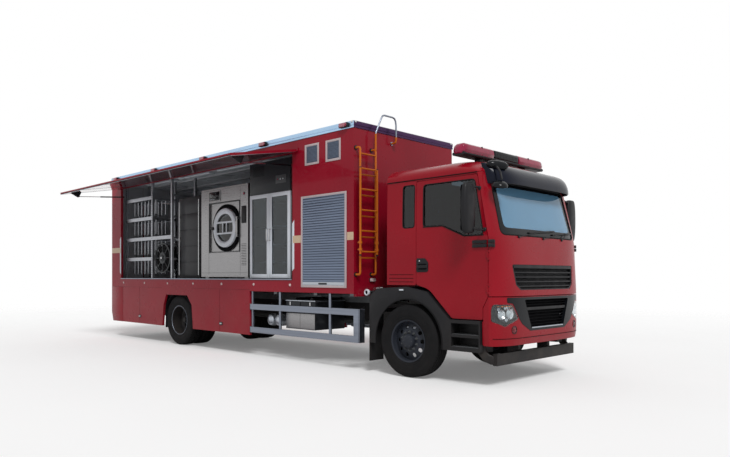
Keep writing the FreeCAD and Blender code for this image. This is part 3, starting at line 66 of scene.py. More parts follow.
class Form:
    """Collects shapes, each with its finish, into one mesh."""

    def __init__(self, finish):
        self.points, self.faces, self.marks, self.finishes = [], [], [], []
        self.use(finish)

    def use(self, finish):
        """The finish of the shapes that follow."""
        if finish not in self.finishes:
            self.finishes.append(finish)
        self.mark = self.finishes.index(finish)
        return self

    def add(self, points, faces):
        start = len(self.points)
        self.points += [Vector(p) for p in points]
        self.faces += [[start + index for index in face] for face in faces]
        self.marks += [self.mark] * len(faces)
        return self

    def add_mesh(self, mesh):
        mesh.verts.ensure_lookup_table()
        mesh.verts.index_update()
        self.add([v.co.copy() for v in mesh.verts], [[v.index for v in face.verts] for face in mesh.faces])
        mesh.free()
        return self

    def block(self, low, high, edge=0.002, steps=2, turn=None):
        """A block between two opposite corners with rounded edges, turned about its own middle."""
        low, high = [Vector([pick(pair) for pair in zip(low, high)]) for pick in (min, max)]
        size = high - low
        mesh = bmesh.new()
        bmesh.ops.create_cube(mesh, size=1)
        bmesh.ops.scale(mesh, vec=size, verts=mesh.verts)
        soften_edges(mesh, min(edge, 0.45 * min(size)), steps)
        if turn is not None:
            bmesh.ops.transform(mesh, matrix=turn.to_matrix().to_4x4(), verts=mesh.verts)
        bmesh.ops.translate(mesh, vec=(low + high) / 2, verts=mesh.verts)
        return self.add_mesh(mesh)

    def sweep(self, path, section, closed=False):
        """A closed section, as (side, up) pairs, carried along a path of points; section 'up' stays nearest to +Z."""
        path = [Vector(p) for p in path]
        count, rings = len(path), []
        for index, spot in enumerate(path):
            before = path[index - 1] if index > 0 or closed else spot
            after = path[(index + 1) % count] if index < count - 1 or closed else spot
            way_in, way_out = (spot - before), (after - spot)
            way_in = way_in.normalized() if way_in.length > 1e-9 else way_out.normalized()
            way_out = way_out.normalized() if way_out.length > 1e-9 else way_in
            ahead = (way_in + way_out).normalized()
            if index == 0:
                up = Z if abs(ahead.z) < 0.9 else X
            up = (up - ahead * up.dot(ahead)).normalized()
            side = ahead.cross(up).normalized()
            stretch = 1 / max(0.35, sqrt(max(0.0, (1 + way_in.dot(way_out)) / 2)))
            bend = (way_out - way_in)
            across = bend.normalized() if bend.length > 1e-6 else None
            ring = []
            for right, high in section:
                offset = side * right + up * high
                if across is not None:
                    offset += across * offset.dot(across) * (stretch - 1)
                ring.append(spot + offset)
            rings.append(ring)
        return self.rings(rings, closed)

    def rings(self, rings, closed=False, capped=True):
        """A skin through rings of as many points each."""
        wide, faces = len(rings[0]), []
        for row in range(len(rings) if closed else len(rings) - 1):
            low, high = row * wide, (row + 1) % len(rings) * wide
            for k in range(wide):
                m = (k + 1) % wide
                faces.append([low + k, low + m, high + m, high + k])
        if capped and not closed:
            last = (len(rings) - 1) * wide
            faces += [list(range(wide))[::-1], list(range(last, last + wide))]
        return self.add([p for ring in rings for p in ring], faces)

    def tube(self, path, radius, sides=14, closed=False):
        return self.sweep(path, circle((0, 0), radius, sides), closed)

    def lathe(self, profile, centre, axis=Y, steps=48):
        """A profile of (along, radius) pairs turned about an axis; ends at radius 0 close the form."""
        return self.rings([turned(centre, axis, steps, along, max(radius, 1e-5)) for along, radius in profile])

    def loop_lathe(self, profile, centre, axis=Y, steps=48):
        """A closed profile turned about an axis, such as a tyre or a ring."""
        return self.rings(list(zip(*[turned(centre, axis, steps, *pair) for pair in profile])), closed=True)

    def disc(self, low, high, radius, top, centre, axis=Y, steps=16):
        """A round plug between two places along its axis, with the radius it starts and ends with."""
        return self.lathe([(low, 0), (low, radius), (high, top), (high, 0)], centre, axis, steps)

    def plate(self, corners, axis, low, high, edge=0.002, steps=2):
        """An outline of pairs in the plane across an axis, made as thick as low to high, with rounded edges."""
        low, high = sorted((low, high))
        mesh = bmesh.new()
        face = mesh.faces.new([mesh.verts.new(on_axis(axis, pair, low)) for pair in corners])
        moved = bmesh.ops.extrude_face_region(mesh, geom=[face])["geom"]
        shift = on_axis(axis, (0, 0), high - low)
        bmesh.ops.translate(mesh, vec=shift, verts=[g for g in moved if isinstance(g, bmesh.types.BMVert)])
        bmesh.ops.recalc_face_normals(mesh, faces=mesh.faces)
        soften_edges(mesh, edge, steps)
        return self.add_mesh(mesh)

    def build(self, name, body="truck"):
        """Makes the piece, clean and with its faces outwards, and lets it ride on its body."""
        mesh = bpy.data.meshes.new(name)
        mesh.from_pydata([p + ORIGIN for p in self.points], [], self.faces)
        for finish in self.finishes:
            mesh.materials.append(finish)
        mesh.polygons.foreach_set("material_index", self.marks)
        work = bmesh.new()
        work.from_mesh(mesh)
        bmesh.ops.remove_doubles(work, verts=work.verts, dist=1e-5)
        bmesh.ops.dissolve_degenerate(work, edges=work.edges, dist=1e-6)
        bmesh.ops.recalc_face_normals(work, faces=work.faces)
        shade(work)
        work.to_mesh(mesh)
        work.free()
        return keep(name, mesh, body)


def soften_edges(mesh, edge, steps):
    if edge > 0:
        bmesh.ops.bevel(mesh, geom=mesh.edges[:], offset=edge, segments=steps, affect="EDGES", profile=0.5)


def shade(work):
    for face in work.faces:
        face.smooth = True
    for edge in work.edges:
        edge.smooth = len(edge.link_faces) == 2 and edge.calc_face_angle(0) < SHARP_ANGLE


def place_in_scene(name, data):
    thing = bpy.data.objects.new(name, data)
    bpy.context.scene.collection.objects.link(thing)
    return thing


def keep(name, mesh, body):
    piece = place_in_scene(name, mesh)
    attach(piece, body)
    return piece


def on_axis(axis, pair, along):
    """A point from its two coordinates across an axis, in x, y, z order, and its place along it."""
    spots = {"x": (along, pair[0], pair[1]), "y": (pair[0], along, pair[1]), "z": (pair[0], pair[1], along)}
    return Vector(spots[axis])


def rounded(corners, radius, steps=5):
    """An outline with its corners rounded by arcs; radius is one number or one for each corner."""
    result = []
    count = len(corners)
    radii = radius if isinstance(radius, (list, tuple)) else [radius] * count
    for index, corner in enumerate(corners):
        here = Vector(corner)
        back = Vector(corners[index - 1]) - here
        ahead = Vector(corners[(index + 1) % count]) - here
        half = back.angle(ahead) / 2
        cut = min(radii[index] / tan(half), 0.48 * back.length, 0.48 * ahead.length)
        if cut < 1e-5:
            result.append(tuple(here))
            continue
        start, end = here + back.normalized() * cut, here + ahead.normalized() * cut
        for k in range(steps + 1):
            t = k / steps
            result.append(tuple(start * (1 - t) ** 2 + here * 2 * t * (1 - t) + end * t ** 2))
    return result


def rectangle(low, high, radius=0.0, steps=5):
    corners = [(low[0], low[1]), (high[0], low[1]), (high[0], high[1]), (low[0], high[1])]
    return rounded(corners, radius, steps) if radius else corners


def turns(steps):
    """The angles of a whole turn divided into steps."""
    return [2 * pi * k / steps for k in range(steps)]


def around(angle, radius, along):
    """A place about an axis that lies across the vehicle."""
    return Vector((radius * cos(angle), along, radius * sin(angle)))


def circle(middle, radius, steps):
    return [(middle[0] + radius * cos(a), middle[1] + radius * sin(a)) for a in turns(steps)]


def turned(centre, axis, steps, along, radius):
    """A ring of points about an axis."""
    centre, axis = Vector(centre), Vector(axis).normalized()
    side = axis.orthogonal().normalized()
    other = axis.cross(side)
    return [centre + axis * along + (side * cos(a) + other * sin(a)) * radius for a in turns(steps)]


def oblong(wide, high, radius=0.0, steps=5):
    """A four-sided section of two half sizes about its middle."""
    return rectangle((-wide, -high), (wide, high), radius, steps)


def hand(side):
    return "left" if side > 0 else "right"


def inside(spot, outline):
    """Whether a flat point lies in an outline, by counting crossings."""
    found = False
    for (ax, ay), (bx, by) in zip(outline, outline[1:] + outline[:1]):
        if (ay > spot[1]) != (by > spot[1]) and spot[0] < (bx - ax) * (spot[1] - ay) / (by - ay) + ax:
            found = not found
    return found


def within(spot, loops):
    """Whether a flat point lies in the first outline and in none of the holes after it."""
    return inside(spot, loops[0]) and not any(inside(spot, hole) for hole in loops[1:])


def divided(outline, step):
    """An outline with its long sides divided into steps."""
    result = []
    for a, b in zip(outline, outline[1:] + outline[:1]):
        a, b = Vector(a), Vector(b)
        parts = max(1, ceil((b - a).length / step))
        result += [tuple(a.lerp(b, k / parts)) for k in range(parts)]
    return result


RIM_CLEARANCE = 0.35


def skin_panel(form, outline, holes, surface, thick, step):
    """A panel cut from a curved skin: surface() gives the place and outward normal of a point of the flat outlines."""
    loops = [divided(outline, step)] + [divided(hole, step) for hole in holes]
    flat, edges = [], []
    for loop in loops:
        start = len(flat)
        flat += loop
        edges += [(start + k, start + (k + 1) % len(loop)) for k in range(len(loop))]
    (left, right), (foot, head) = [(min(values), max(values)) for values in zip(*loops[0])]
    columns, rows = int((right - left) / step), int((head - foot) / step)
    rims = [Vector(p) for p in flat]
    for i in range(1, columns + 1):
        for j in range(1, rows + 1):
            spot = (left + (right - left) * i / (columns + 1), foot + (head - foot) * j / (rows + 1))
            if within(spot, loops) and min((rim - Vector(spot)).length for rim in rims) > RIM_CLEARANCE * step:
                flat.append(spot)
    made = delaunay_2d_cdt([Vector(p) for p in flat], edges, [], 0, 1e-5)
    spots, triangles = [tuple(p) for p in made[0]], made[2]
    kept = []
    for face in triangles:
        middle = [sum(spots[k][axis] for k in face) / len(face) for axis in (0, 1)]
        if within(middle, loops):
            kept.append(list(face))
    outer, inner = [], []
    for spot in spots:
        place, normal = surface(*spot)
        outer.append(place)
        inner.append(place - normal * thick)
    count = len(spots)
    faces = kept + [[count + k for k in face[::-1]] for face in kept]
    borders = dict.fromkeys(pair for face in kept for pair in zip(face, face[1:] + face[:1]))
    faces += [[b, a, count + a, count + b] for a, b in borders if (b, a) not in borders]
    return form.add(outer + inner, faces)


# Geometry Nodes for what repeats

def new_tree(name, numbers):
    """An empty tree with a geometry going through it, a finish and the named inputs."""
    tree = bpy.data.node_groups.new(name, "GeometryNodeTree")
    tree.interface.new_socket("Shape", in_out="INPUT", socket_type="NodeSocketGeometry")
    for label, kind in numbers:
        tree.interface.new_socket(label, in_out="INPUT", socket_type=kind)
    tree.interface.new_socket("Finish", in_out="INPUT", socket_type="NodeSocketMaterial")
    tree.interface.new_socket("Shape", in_out="OUTPUT", socket_type="NodeSocketGeometry")
    return tree, tree.nodes.new("NodeGroupInput"), tree.nodes.new("NodeGroupOutput")


def finish_tree(tree, entry, leave, copies, links):
    """Wires a tree, realizes its copies and gives them their finish."""
    real, paint = [tree.nodes.new("GeometryNode" + kind) for kind in ("RealizeInstances", "SetMaterial")]
    for source, output, target, entrance in links + [
            (entry, "Shape", copies, "Instance"), (copies, "Instances", real, "Geometry"),
            (real, "Geometry", paint, "Geometry"), (entry, "Finish", paint, "Material"),
            (paint, "Geometry", leave, "Shape")]:
        if not target.inputs[entrance].is_linked:
            tree.links.new(source.outputs[output], target.inputs[entrance])
    return tree


def row_tree():
    """Copies of a shape in a straight row: Count copies, each a Step from the last."""
    tree, entry, leave = new_tree("row", [("Count", "NodeSocketInt"), ("Step", "NodeSocketVector")])
    line, copies = [tree.nodes.new("GeometryNode" + kind) for kind in ("MeshLine", "InstanceOnPoints")]
    line.mode = "OFFSET"
    return finish_tree(tree, entry, leave, copies, [
        (entry, "Count", line, "Count"), (entry, "Step", line, "Offset"), (line, "Mesh", copies, "Points")])


def ring_tree():
    """Copies of a shape turned about Centre: Count copies over the whole turn that Turn gives for each axis."""
    tree, entry, leave = new_tree("ring", [("Count", "NodeSocketInt"), ("Turn", "NodeSocketVector"),
            ("Centre", "NodeSocketVector")])
    line, copies, index, before = [tree.nodes.new("GeometryNode" + kind) for kind in (
        "MeshLine", "InstanceOnPoints", "InputIndex", "Transform")]
    share, turn, back = [tree.nodes.new(kind) for kind in (
        "ShaderNodeMath", "ShaderNodeVectorMath", "ShaderNodeVectorMath")]
    share.operation, turn.operation, back.operation = "DIVIDE", "SCALE", "SCALE"
    back.inputs["Scale"].default_value = -1
    line.inputs["Offset"].default_value = (0, 0, 0)
    tree.links.new(entry.outputs["Count"], share.inputs[1])
    return finish_tree(tree, entry, leave, copies, [
        (entry, "Count", line, "Count"), (entry, "Centre", line, "Start Location"), (line, "Mesh", copies, "Points"),
        (entry, "Centre", back, "Vector"), (entry, "Shape", before, "Geometry"),
        (back, "Vector", before, "Translation"),
        (before, "Geometry", copies, "Instance"), (index, "Index", share, "Value"), (entry, "Turn", turn, "Vector"),
        (share, "Value", turn, "Scale"), (turn, "Vector", copies, "Rotation")])


TREES = {"row": row_tree(), "ring": ring_tree()}


def repeated(piece, kind, **values):
    """Runs a piece through a tree with the given inputs and keeps the result as its plain mesh."""
    tree = TREES[kind]
    values.setdefault("Finish", piece.data.materials[0])
    modifier = piece.modifiers.new(kind, "NODES")
    modifier.node_group = tree
    for item in tree.interface.items_tree:
        if item.in_out == "INPUT" and item.name in values:
            modifier[item.identifier] = values[item.name]
    mesh = bpy.data.meshes.new_from_object(piece.evaluated_get(bpy.context.evaluated_depsgraph_get()))
    piece.modifiers.remove(modifier)
    piece.data = mesh
    return piece


def row(form, name, body, count, step):
    return repeated(form.build(name, body), "row", Count=count, Step=tuple(step))


def grid(form, name, body, first, second):
    """A row of rows: each of first and second is (count, step)."""
    piece = row(form, name, body, *first)
    return repeated(piece, "row", Count=second[0], Step=tuple(second[1]))


def ring(form, name, body, count, centre):
    return repeated(form.build(name, body), "ring", Count=count, Turn=tuple(Y * 2 * pi),
            Centre=tuple(Vector(centre) + ORIGIN))


# Finishes

class Finish:
    """Builds a node-based finish step by step on one main shader."""

    def __init__(self, name, rough, metal=0.0, coat=0.0, coat_rough=0.06, specular=0.5):
        self.material = bpy.data.materials.new(name)
        self.material.use_nodes = True
        self.tree = self.material.node_tree
        self.shader = self.tree.nodes["Principled BSDF"]
        self.base_rough = rough
        self.put(self.shader, {"Metallic": metal, "Coat Weight": coat, "Coat Roughness": coat_rough,
                "Specular IOR Level": specular, "Roughness": rough})
        self.place = self.node("ShaderNodeTexCoord").outputs["Object"]

    def node(self, kind, **settings):
        made = self.tree.nodes.new(kind)
        for key, value in settings.items():
            setattr(made, key, value)
        return made

    def put(self, node, values):
        for label, value in values.items():
            node.inputs[label].default_value = value
        return self

    def feed(self, source, target):
        self.tree.links.new(source, target)

    def noise(self, scale, stretch=(1, 1, 1), detail=3.0):
        """A noise value over the surface, stretched along an axis where stretch is small."""
        mapping = self.node("ShaderNodeMapping")
        cloud = self.node("ShaderNodeTexNoise")
        self.put(mapping, {"Scale": stretch}).put(cloud, {"Scale": scale, "Detail": detail})
        self.feed(self.place, mapping.inputs["Vector"])
        self.feed(mapping.outputs["Vector"], cloud.inputs["Vector"])
        return cloud.outputs["Fac"]

    def ranged(self, value, low, high, start=0.3, end=0.7):
        spread = self.node("ShaderNodeMapRange")
        self.put(spread, {"From Min": start, "From Max": end, "To Min": low, "To Max": high})
        self.feed(value, spread.inputs["Value"])
        return spread.outputs["Result"]

    def mixed(self, share, first, second):
        """A colour between two, each a colour or a socket."""
        mix = self.node("ShaderNodeMix", data_type="RGBA")
        self.feed(share, mix.inputs[0])
        for socket, colour in ((mix.inputs[6], first), (mix.inputs[7], second)):
            if isinstance(colour, bpy.types.NodeSocket):
                self.feed(colour, socket)
            else:
                socket.default_value = (*colour, 1)
        return mix.outputs[2]

    def colour(self, first, second, scale=2.0, stretch=(1, 1, 1)):
        """Two near shades of one colour in soft patches."""
        self.tint = self.mixed(self.ranged(self.noise(scale, stretch), 0, 1), first, second)
        self.feed(self.tint, self.shader.inputs["Base Color"])
        return self

    def gloss(self, spread, scale=6.0, stretch=(1, 1, 1)):
        """Roughness that wanders about its base value."""
        base = self.base_rough
        self.shine = self.ranged(self.noise(scale, stretch), max(0.02, base - spread), min(1, base + spread))
        self.feed(self.shine, self.shader.inputs["Roughness"])
        return self

    def relief(self, strength, scale, stretch=(1, 1, 1), depth=0.001, detail=2.0):
        bump = self.node("ShaderNodeBump")
        self.put(bump, {"Strength": strength, "Distance": depth})
        self.feed(self.noise(scale, stretch, detail), bump.inputs["Height"])
        self.feed(bump.outputs["Normal"], self.shader.inputs["Normal"])
        return self

    def dust(self, colour, low, high, amount):
        """Road dust that fades out between two heights."""
        parts = self.node("ShaderNodeSeparateXYZ")
        self.feed(self.place, parts.inputs["Vector"])
        fade = self.ranged(parts.outputs["Z"], amount, 0, low, high)
        patch = self.ranged(self.noise(5.0, (1, 1, 1), 5.0), 0.35, 1, 0.35, 0.65)
        both = self.node("ShaderNodeMath", operation="MULTIPLY")
        self.feed(fade, both.inputs[0])
        self.feed(patch, both.inputs[1])
        self.tint = self.mixed(both.outputs["Value"], self.tint, colour)
        self.feed(self.tint, self.shader.inputs["Base Color"])
        return self

    def done(self):
        return self.material


DUST = (0.23, 0.19, 0.15)
GLASS_IOR, ACRYLIC_IOR = 1.45, 1.49


def paint(name, colour, dusty, rough=0.3, coat=0.15):
    """Gloss coach paint under a thin clear coat, with a faint orange peel and a little road dust low down."""
    darker = tuple(0.86 * c for c in colour)
    return (Finish(name, rough, coat=coat, coat_rough=0.04, specular=0.1).colour(colour, darker, 1.3).gloss(0.06,
            3.0).relief(0.035, 90.0, depth=0.0008).dust(DUST, 0.35, 1.3, dusty).done())


def metal(name, colour, rough, stretch, relief, scale=60.0, darker=0.86):
    """Bare metal with its brush marks along the axis where stretch is small."""
    return (Finish(name, rough, metal=1.0).colour(colour, tuple(darker * c for c in colour), scale / 3,
            stretch).gloss(0.1, scale, stretch).relief(relief, scale, stretch, 0.0006).done())


def plastic(name, colour, rough, grain=220.0, relief=0.25, dusty=0.0, specular=0.2):
    made = (Finish(name, rough, specular=specular).colour(colour, tuple(0.75 * c + 0.002 for c in colour),
            3.0).gloss(0.08, 9.0).relief(relief, grain, depth=0.0006))
    return (made.dust(DUST, 0.1, 1.2, dusty) if dusty else made).done()


def glass(name, tint, share=1.0, specular=0.5):
    made = Finish(name, 0.01, specular=specular)
    made.put(made.shader, {"Transmission Weight": share, "IOR": GLASS_IOR})
    made.colour(tint, tuple(0.93 * c for c in tint), 1.5)
    return made.gloss(0.008, 2.0).done()


def lens(name, colour):
    """Moulded coloured lens: glossy, a little see-through, with fine optic ribs."""
    made = Finish(name, 0.08, coat=0.2, specular=0.25)
    made.put(made.shader, {"Transmission Weight": 0.12, "IOR": ACRYLIC_IOR})
    return (made.colour(colour, tuple(0.8 * c for c in colour), 14.0).gloss(0.04, 20.0).relief(0.35, 70.0,
            (1, 1, 0.1), 0.0008).done())


RED_BOX = paint("red_box_paint", (0.27, 0.004, 0.017), 0.1)
RED_CAB = paint("red_cab_paint", (0.285, 0.003, 0.012), 0.04)
RED_FLAP = (Finish("red_flap_lining", 0.16, coat=0.8, coat_rough=0.03, specular=0.2).colour((0.16, 0.005, 0.016),
        (0.12, 0.004, 0.012), 1.0).gloss(0.05, 4.0).relief(0.03, 60.0).done())
ROOF_WHITE = paint("roof_white_paint", (0.6, 0.61, 0.62), 0.0, 0.4)
DOOR_WHITE = paint("white_enamel", (0.7, 0.74, 0.8), 0.0, 0.3)
FRAME_PALE = paint("pale_frame_paint", (0.5, 0.42, 0.43), 0.0, 0.4)
LINING = paint("pale_lining", (0.5, 0.51, 0.54), 0.0, 0.5)
CABINET_GREY = paint("cabinet_grey_paint", (0.045, 0.046, 0.05), 0.0, 0.42)
DARK_GREY = paint("dark_grey_paint", (0.02, 0.022, 0.026), 0.0, 0.35)
ORANGE = paint("ladder_orange_paint", (0.52, 0.125, 0.008), 0.0, 0.34)
CHASSIS = paint("chassis_black_paint", (0.01, 0.01, 0.012), 0.1, 0.5, 0.1)
RIM_PAINT = paint("rim_grey_paint", (0.022, 0.026, 0.036), 0.02, 0.45)
ENGINE_PAINT = paint("engine_grey_paint", (0.06, 0.065, 0.065), 0.1, 0.55, 0.1)
CREAM_TAPE = (Finish("cream_reflective_tape", 0.35, coat=0.3, specular=0.2).colour((0.6, 0.44, 0.3),
        (0.5, 0.37, 0.24), 30.0).gloss(0.08, 60.0).relief(0.3, 420.0, depth=0.0004).done())
GOLD = metal("gold_plate", (0.6, 0.36, 0.09), 0.34, (1, 1, 1), 0.06)
ALUMINIUM = metal("satin_aluminium", (0.46, 0.49, 0.54), 0.34, (0.04, 1, 1), 0.05, 90.0)
# Front roof edge aluminium coloured dark plum: painted shade with a painted red reflection.
FRONT_TRIM_PAINTED_SHADE = metal("front_edge_aluminium_painted_shade", (0.06, 0.026, 0.078), 0.3, (1, 0.04, 1), 0.03, 90.0)
# Roof edge aluminium coloured sky blue: a painted sky reflection on the sides and rear.
SKY_REFLECTION_TRIM = metal("roof_edge_aluminium_painted_sky_reflection", (0.42, 0.6, 0.8), 0.3, (0.04, 1, 1), 0.03, 90.0)
GUARD_METAL = metal("guard_aluminium", (0.25, 0.275, 0.33), 0.38, (0.03, 1, 1), 0.05, 90.0)
RACK_METAL = metal("rack_aluminium", (0.4, 0.41, 0.44), 0.42, (0.3, 0.3, 1), 0.05, 60.0)
SHUTTER_METAL = metal("shutter_slats", (0.19, 0.23, 0.31), 0.42, (0.04, 1, 1), 0.05, 40.0)
STAINLESS = metal("brushed_stainless", (0.3, 0.295, 0.3), 0.34, (0.05, 1, 1), 0.03, 260.0, 0.94)
STEEL = metal("bright_steel", (0.56, 0.56, 0.57), 0.22, (1, 1, 0.1), 0.05)
CHROME = metal("chrome_plate", (0.76, 0.77, 0.8), 0.06, (1, 1, 1), 0.02)
BLACK_PLASTIC = plastic("black_moulding", (0.01, 0.01, 0.012), 0.45, dusty=0.05)
GLOSS_BLACK = paint("gloss_black_panel", (0.006, 0.007, 0.009), 0.0, 0.18)
GREY_PLASTIC = plastic("grey_moulding", (0.075, 0.08, 0.085), 0.5)
RUBBER = plastic("black_rubber", (0.01, 0.01, 0.011), 0.72, 120.0, 0.3, specular=0.12)
TYRE = plastic("tyre_rubber", (0.008, 0.008, 0.009), 0.78, 90.0, 0.45, 0.02, 0.12)
# Near black with almost no shine: the colour of dark joints, and painted shade where it backs vents, grilles, shutters,
# grooves and openings.
JOINT_AND_SHADE_BLACK = plastic("joint_black_and_painted_recess_shade", (0.004, 0.004, 0.005), 0.85, specular=0.05)
SEAT_CLOTH = plastic("seat_cloth", (0.03, 0.032, 0.038), 0.92, 700.0, 0.8, specular=0.1)
SHADE_GLASS = glass("tinted_glass", (0.04, 0.06, 0.075), specular=0.2)
SCREEN_GLASS = glass("screen_glass", (0.32, 0.42, 0.48))
# The windscreen's strong sky-blue tint, only partly see-through, is a painted sky reflection.
WINDSCREEN_PAINTED_SKY_GLASS = glass("windscreen_glass_painted_sky_reflection", (0.2, 0.43, 0.64), share=0.45, specular=0.3)
CLEAR_GLASS = glass("clear_glass", (0.9, 0.94, 0.95))
RED_LENS = lens("red_lens", (0.33, 0.003, 0.05))
AMBER_LENS = lens("amber_lens", (0.75, 0.2, 0.01))
PINK_LENS = lens("pale_lens", (0.7, 0.55, 0.55))
DECK_PLATE = (Finish("deck_plate", 0.45, metal=0.6).colour((0.16, 0.165, 0.175), (0.11, 0.115, 0.12), 6.0).gloss(0.12,
        12.0).relief(0.5, 26.0, (1, 1, 1), 0.002, 0.0).done())
SILVER_BULB = paint("lamp_reflector_white", (0.74, 0.78, 0.82), 0, 0.5)
GRILLE_MESH = plastic("grille_mesh_wire", (0.02, 0.02, 0.022), 0.4)
SMOKE_BLACK = plastic("smoked_acrylic", (0.006, 0.008, 0.018), 0.16, 30, 0.02, specular=0.12)


# Stage

def pale_floor():
    """A pale floor that fades out far from the vehicle, and is lifted to white for the camera only."""
    made = Finish("pale_floor", 0.9, specular=0.0).colour((0.86, 0.86, 0.86), (0.84, 0.84, 0.84), 0.3).gloss(0.02)
    path = made.node("ShaderNodeLightPath")
    made.feed(made.ranged(path.outputs["Is Camera Ray"], 0.0, FLOOR_LIFT, 0, 1),
            made.shader.inputs["Emission Strength"])
    made.shader.inputs["Emission Color"].default_value = (1, 1, 1, 1)
    reach = made.node("ShaderNodeVectorMath", operation="LENGTH")
    made.feed(made.place, reach.inputs[0])
    made.feed(made.ranged(reach.outputs["Value"], 1.0, 0.0, 9.0, 22.0), made.shader.inputs["Alpha"])
    return made.done()


FLOOR_LIFT, AMBIENT, SUN_POWER = 0.16, 0.45, 2.0


def stage():
    """The plain pale floor, a soft white surround, one soft sun and the camera."""
    floor = bpy.data.meshes.new("floor")
    reach = 60.0
    floor.from_pydata([(-reach, -reach, 0), (reach, -reach, 0), (reach, reach, 0), (-reach, reach, 0)], [],
            [(0, 1, 2, 3)])
    floor.materials.append(pale_floor())
    ground = place_in_scene("floor", floor)

    world = bpy.data.worlds.new("studio")
    bpy.context.scene.world = world
    world.use_nodes = True
    nodes, links = world.node_tree.nodes, world.node_tree.links
    sky = nodes["Background"]
    path = nodes.new("ShaderNodeLightPath")
    level = nodes.new("ShaderNodeMapRange")
    level.inputs["To Min"].default_value = AMBIENT
    level.inputs["To Max"].default_value = 1.0
    share = path.outputs["Is Camera Ray"]
    for ray in ("Is Glossy Ray", "Is Transmission Ray"):
        most = nodes.new("ShaderNodeMath")
        most.operation = "MAXIMUM"
        links.new(share, most.inputs[0])
        links.new(path.outputs[ray], most.inputs[1])
        share = most.outputs["Value"]
    links.new(share, level.inputs["Value"])
    links.new(level.outputs["Result"], sky.inputs["Strength"])
    sky.inputs["Color"].default_value = (1, 1, 1, 1)

    light = bpy.data.lights.new("sun", "SUN")
    light.energy = SUN_POWER
    light.angle = radians(18)
    place_in_scene("sun", light).rotation_euler = Vector((-0.62, 0.45, -0.8)).to_track_quat("-Z", "Y").to_euler()

    view = bpy.data.cameras.new("camera")
    view.sensor_width = 36
    view.lens = 650 / 730 * 36
    view.shift_x, view.shift_y = 0.0647, 0.0655
    view.clip_end = 300
    eye = place_in_scene("camera", view)
    eye.location = Vector((5.737, -8.3, 1.413)) + ORIGIN
    eye.rotation_euler = (pi / 2, 0, radians(46.72))
    bpy.context.scene.camera = eye
    bpy.context.scene.view_settings.view_transform = "Standard"


# What the frame's own nodes are finished in

NODE_FINISH = {
    "chassis_frame": (CHASSIS, 0.003), "front_axle": (CHASSIS, 0.004), "rear_axle": (CHASSIS, 0.004),
    "engine": (ENGINE_PAINT, 0.012), "knuckle_right": (CHASSIS, 0.003), "knuckle_left": (CHASSIS, 0.003),
    "fuel_tank": (ALUMINIUM, 0.012), "side_guards": (GUARD_METAL, 0.004),
    "mudguards": (BLACK_PLASTIC, 0.004), "cab_floor": (RUBBER, 0.004), "cab_rear_wall": (RED_CAB, 0.004),
    "box_floor": (DECK_PLATE, 0.002), "box_front_wall": (RED_BOX, 0.006),
    "box_left_wall": (RED_BOX, 0.003), "box_right_wall": (RED_BOX, 0.003), "box_rear_wall": (RED_BOX, 0.004),
    "box_roof": (ROOF_WHITE, 0.003), "rear_door": (RED_BOX, 0.004), "side_flap": (RED_BOX, 0.004),
    "strut_cylinders": (GLOSS_BLACK, 0.001), "strut_rods": (CHROME, 0.0008),
    "racks": (RACK_METAL, 0.003),
    "washer": (STAINLESS, 0.004), "drying_cabinet": (CABINET_GREY, 0.004),
    "rim_front_right": (RIM_PAINT, 0.002), "rim_front_left": (RIM_PAINT, 0.002),
    "rims_rear_right": (CHASSIS, 0.002), "rims_rear_left": (CHASSIS, 0.002),
}


def soften(node, width):
    """Rounds a CAD node's sharp edges without changing its mesh."""
    thing = NODES[node]
    thing.modifiers.new("weld", "WELD").merge_threshold = 1e-5
    edge = thing.modifiers.new("edge", "BEVEL")
    edge.width = width
    edge.segments = 2
    edge.limit_method = "ANGLE"
    edge.angle_limit = radians(32)


def second_tone(node, finish, chosen):
    """Gives some faces of a CAD node another finish, chosen by their middle in vehicle coordinates."""
    mesh = NODES[node].data
    mesh.materials.append(finish)
    for face in mesh.polygons:
        face.material_index = 1 if chosen(face.center - ORIGIN) else 0


def finish_nodes():
    for node, (finish, edge) in NODE_FINISH.items():
        mesh = NODES[node].data
        mesh.materials.clear()
        mesh.materials.append(finish)
        soften(node, edge)
    second_tone("box_front_wall", STEEL, lambda spot: spot.x > -0.96)
    second_tone("side_flap", DARK_GREY, lambda spot: spot.z < 3.432 + 0.1763 * (spot.y + 1.27))


# Box body

BOX_REAR, BOX_FRONT, BOX_HALF, BOX_TOP = -8.9, -0.965, 1.25, 3.64
SKIRT_LOW, SKIRT_TOP = 0.372, 1.175
BAND_LOW, BAND_HIGH = 1.96, 2.08
DECK, CEILING = 1.353, 3.587
OPEN_REAR, OPEN_FRONT, OPEN_LOW, OPEN_HIGH = -8.44, -2.37, 1.37, 3.45
SKIN = 0.0012
SEAM = 0.0025


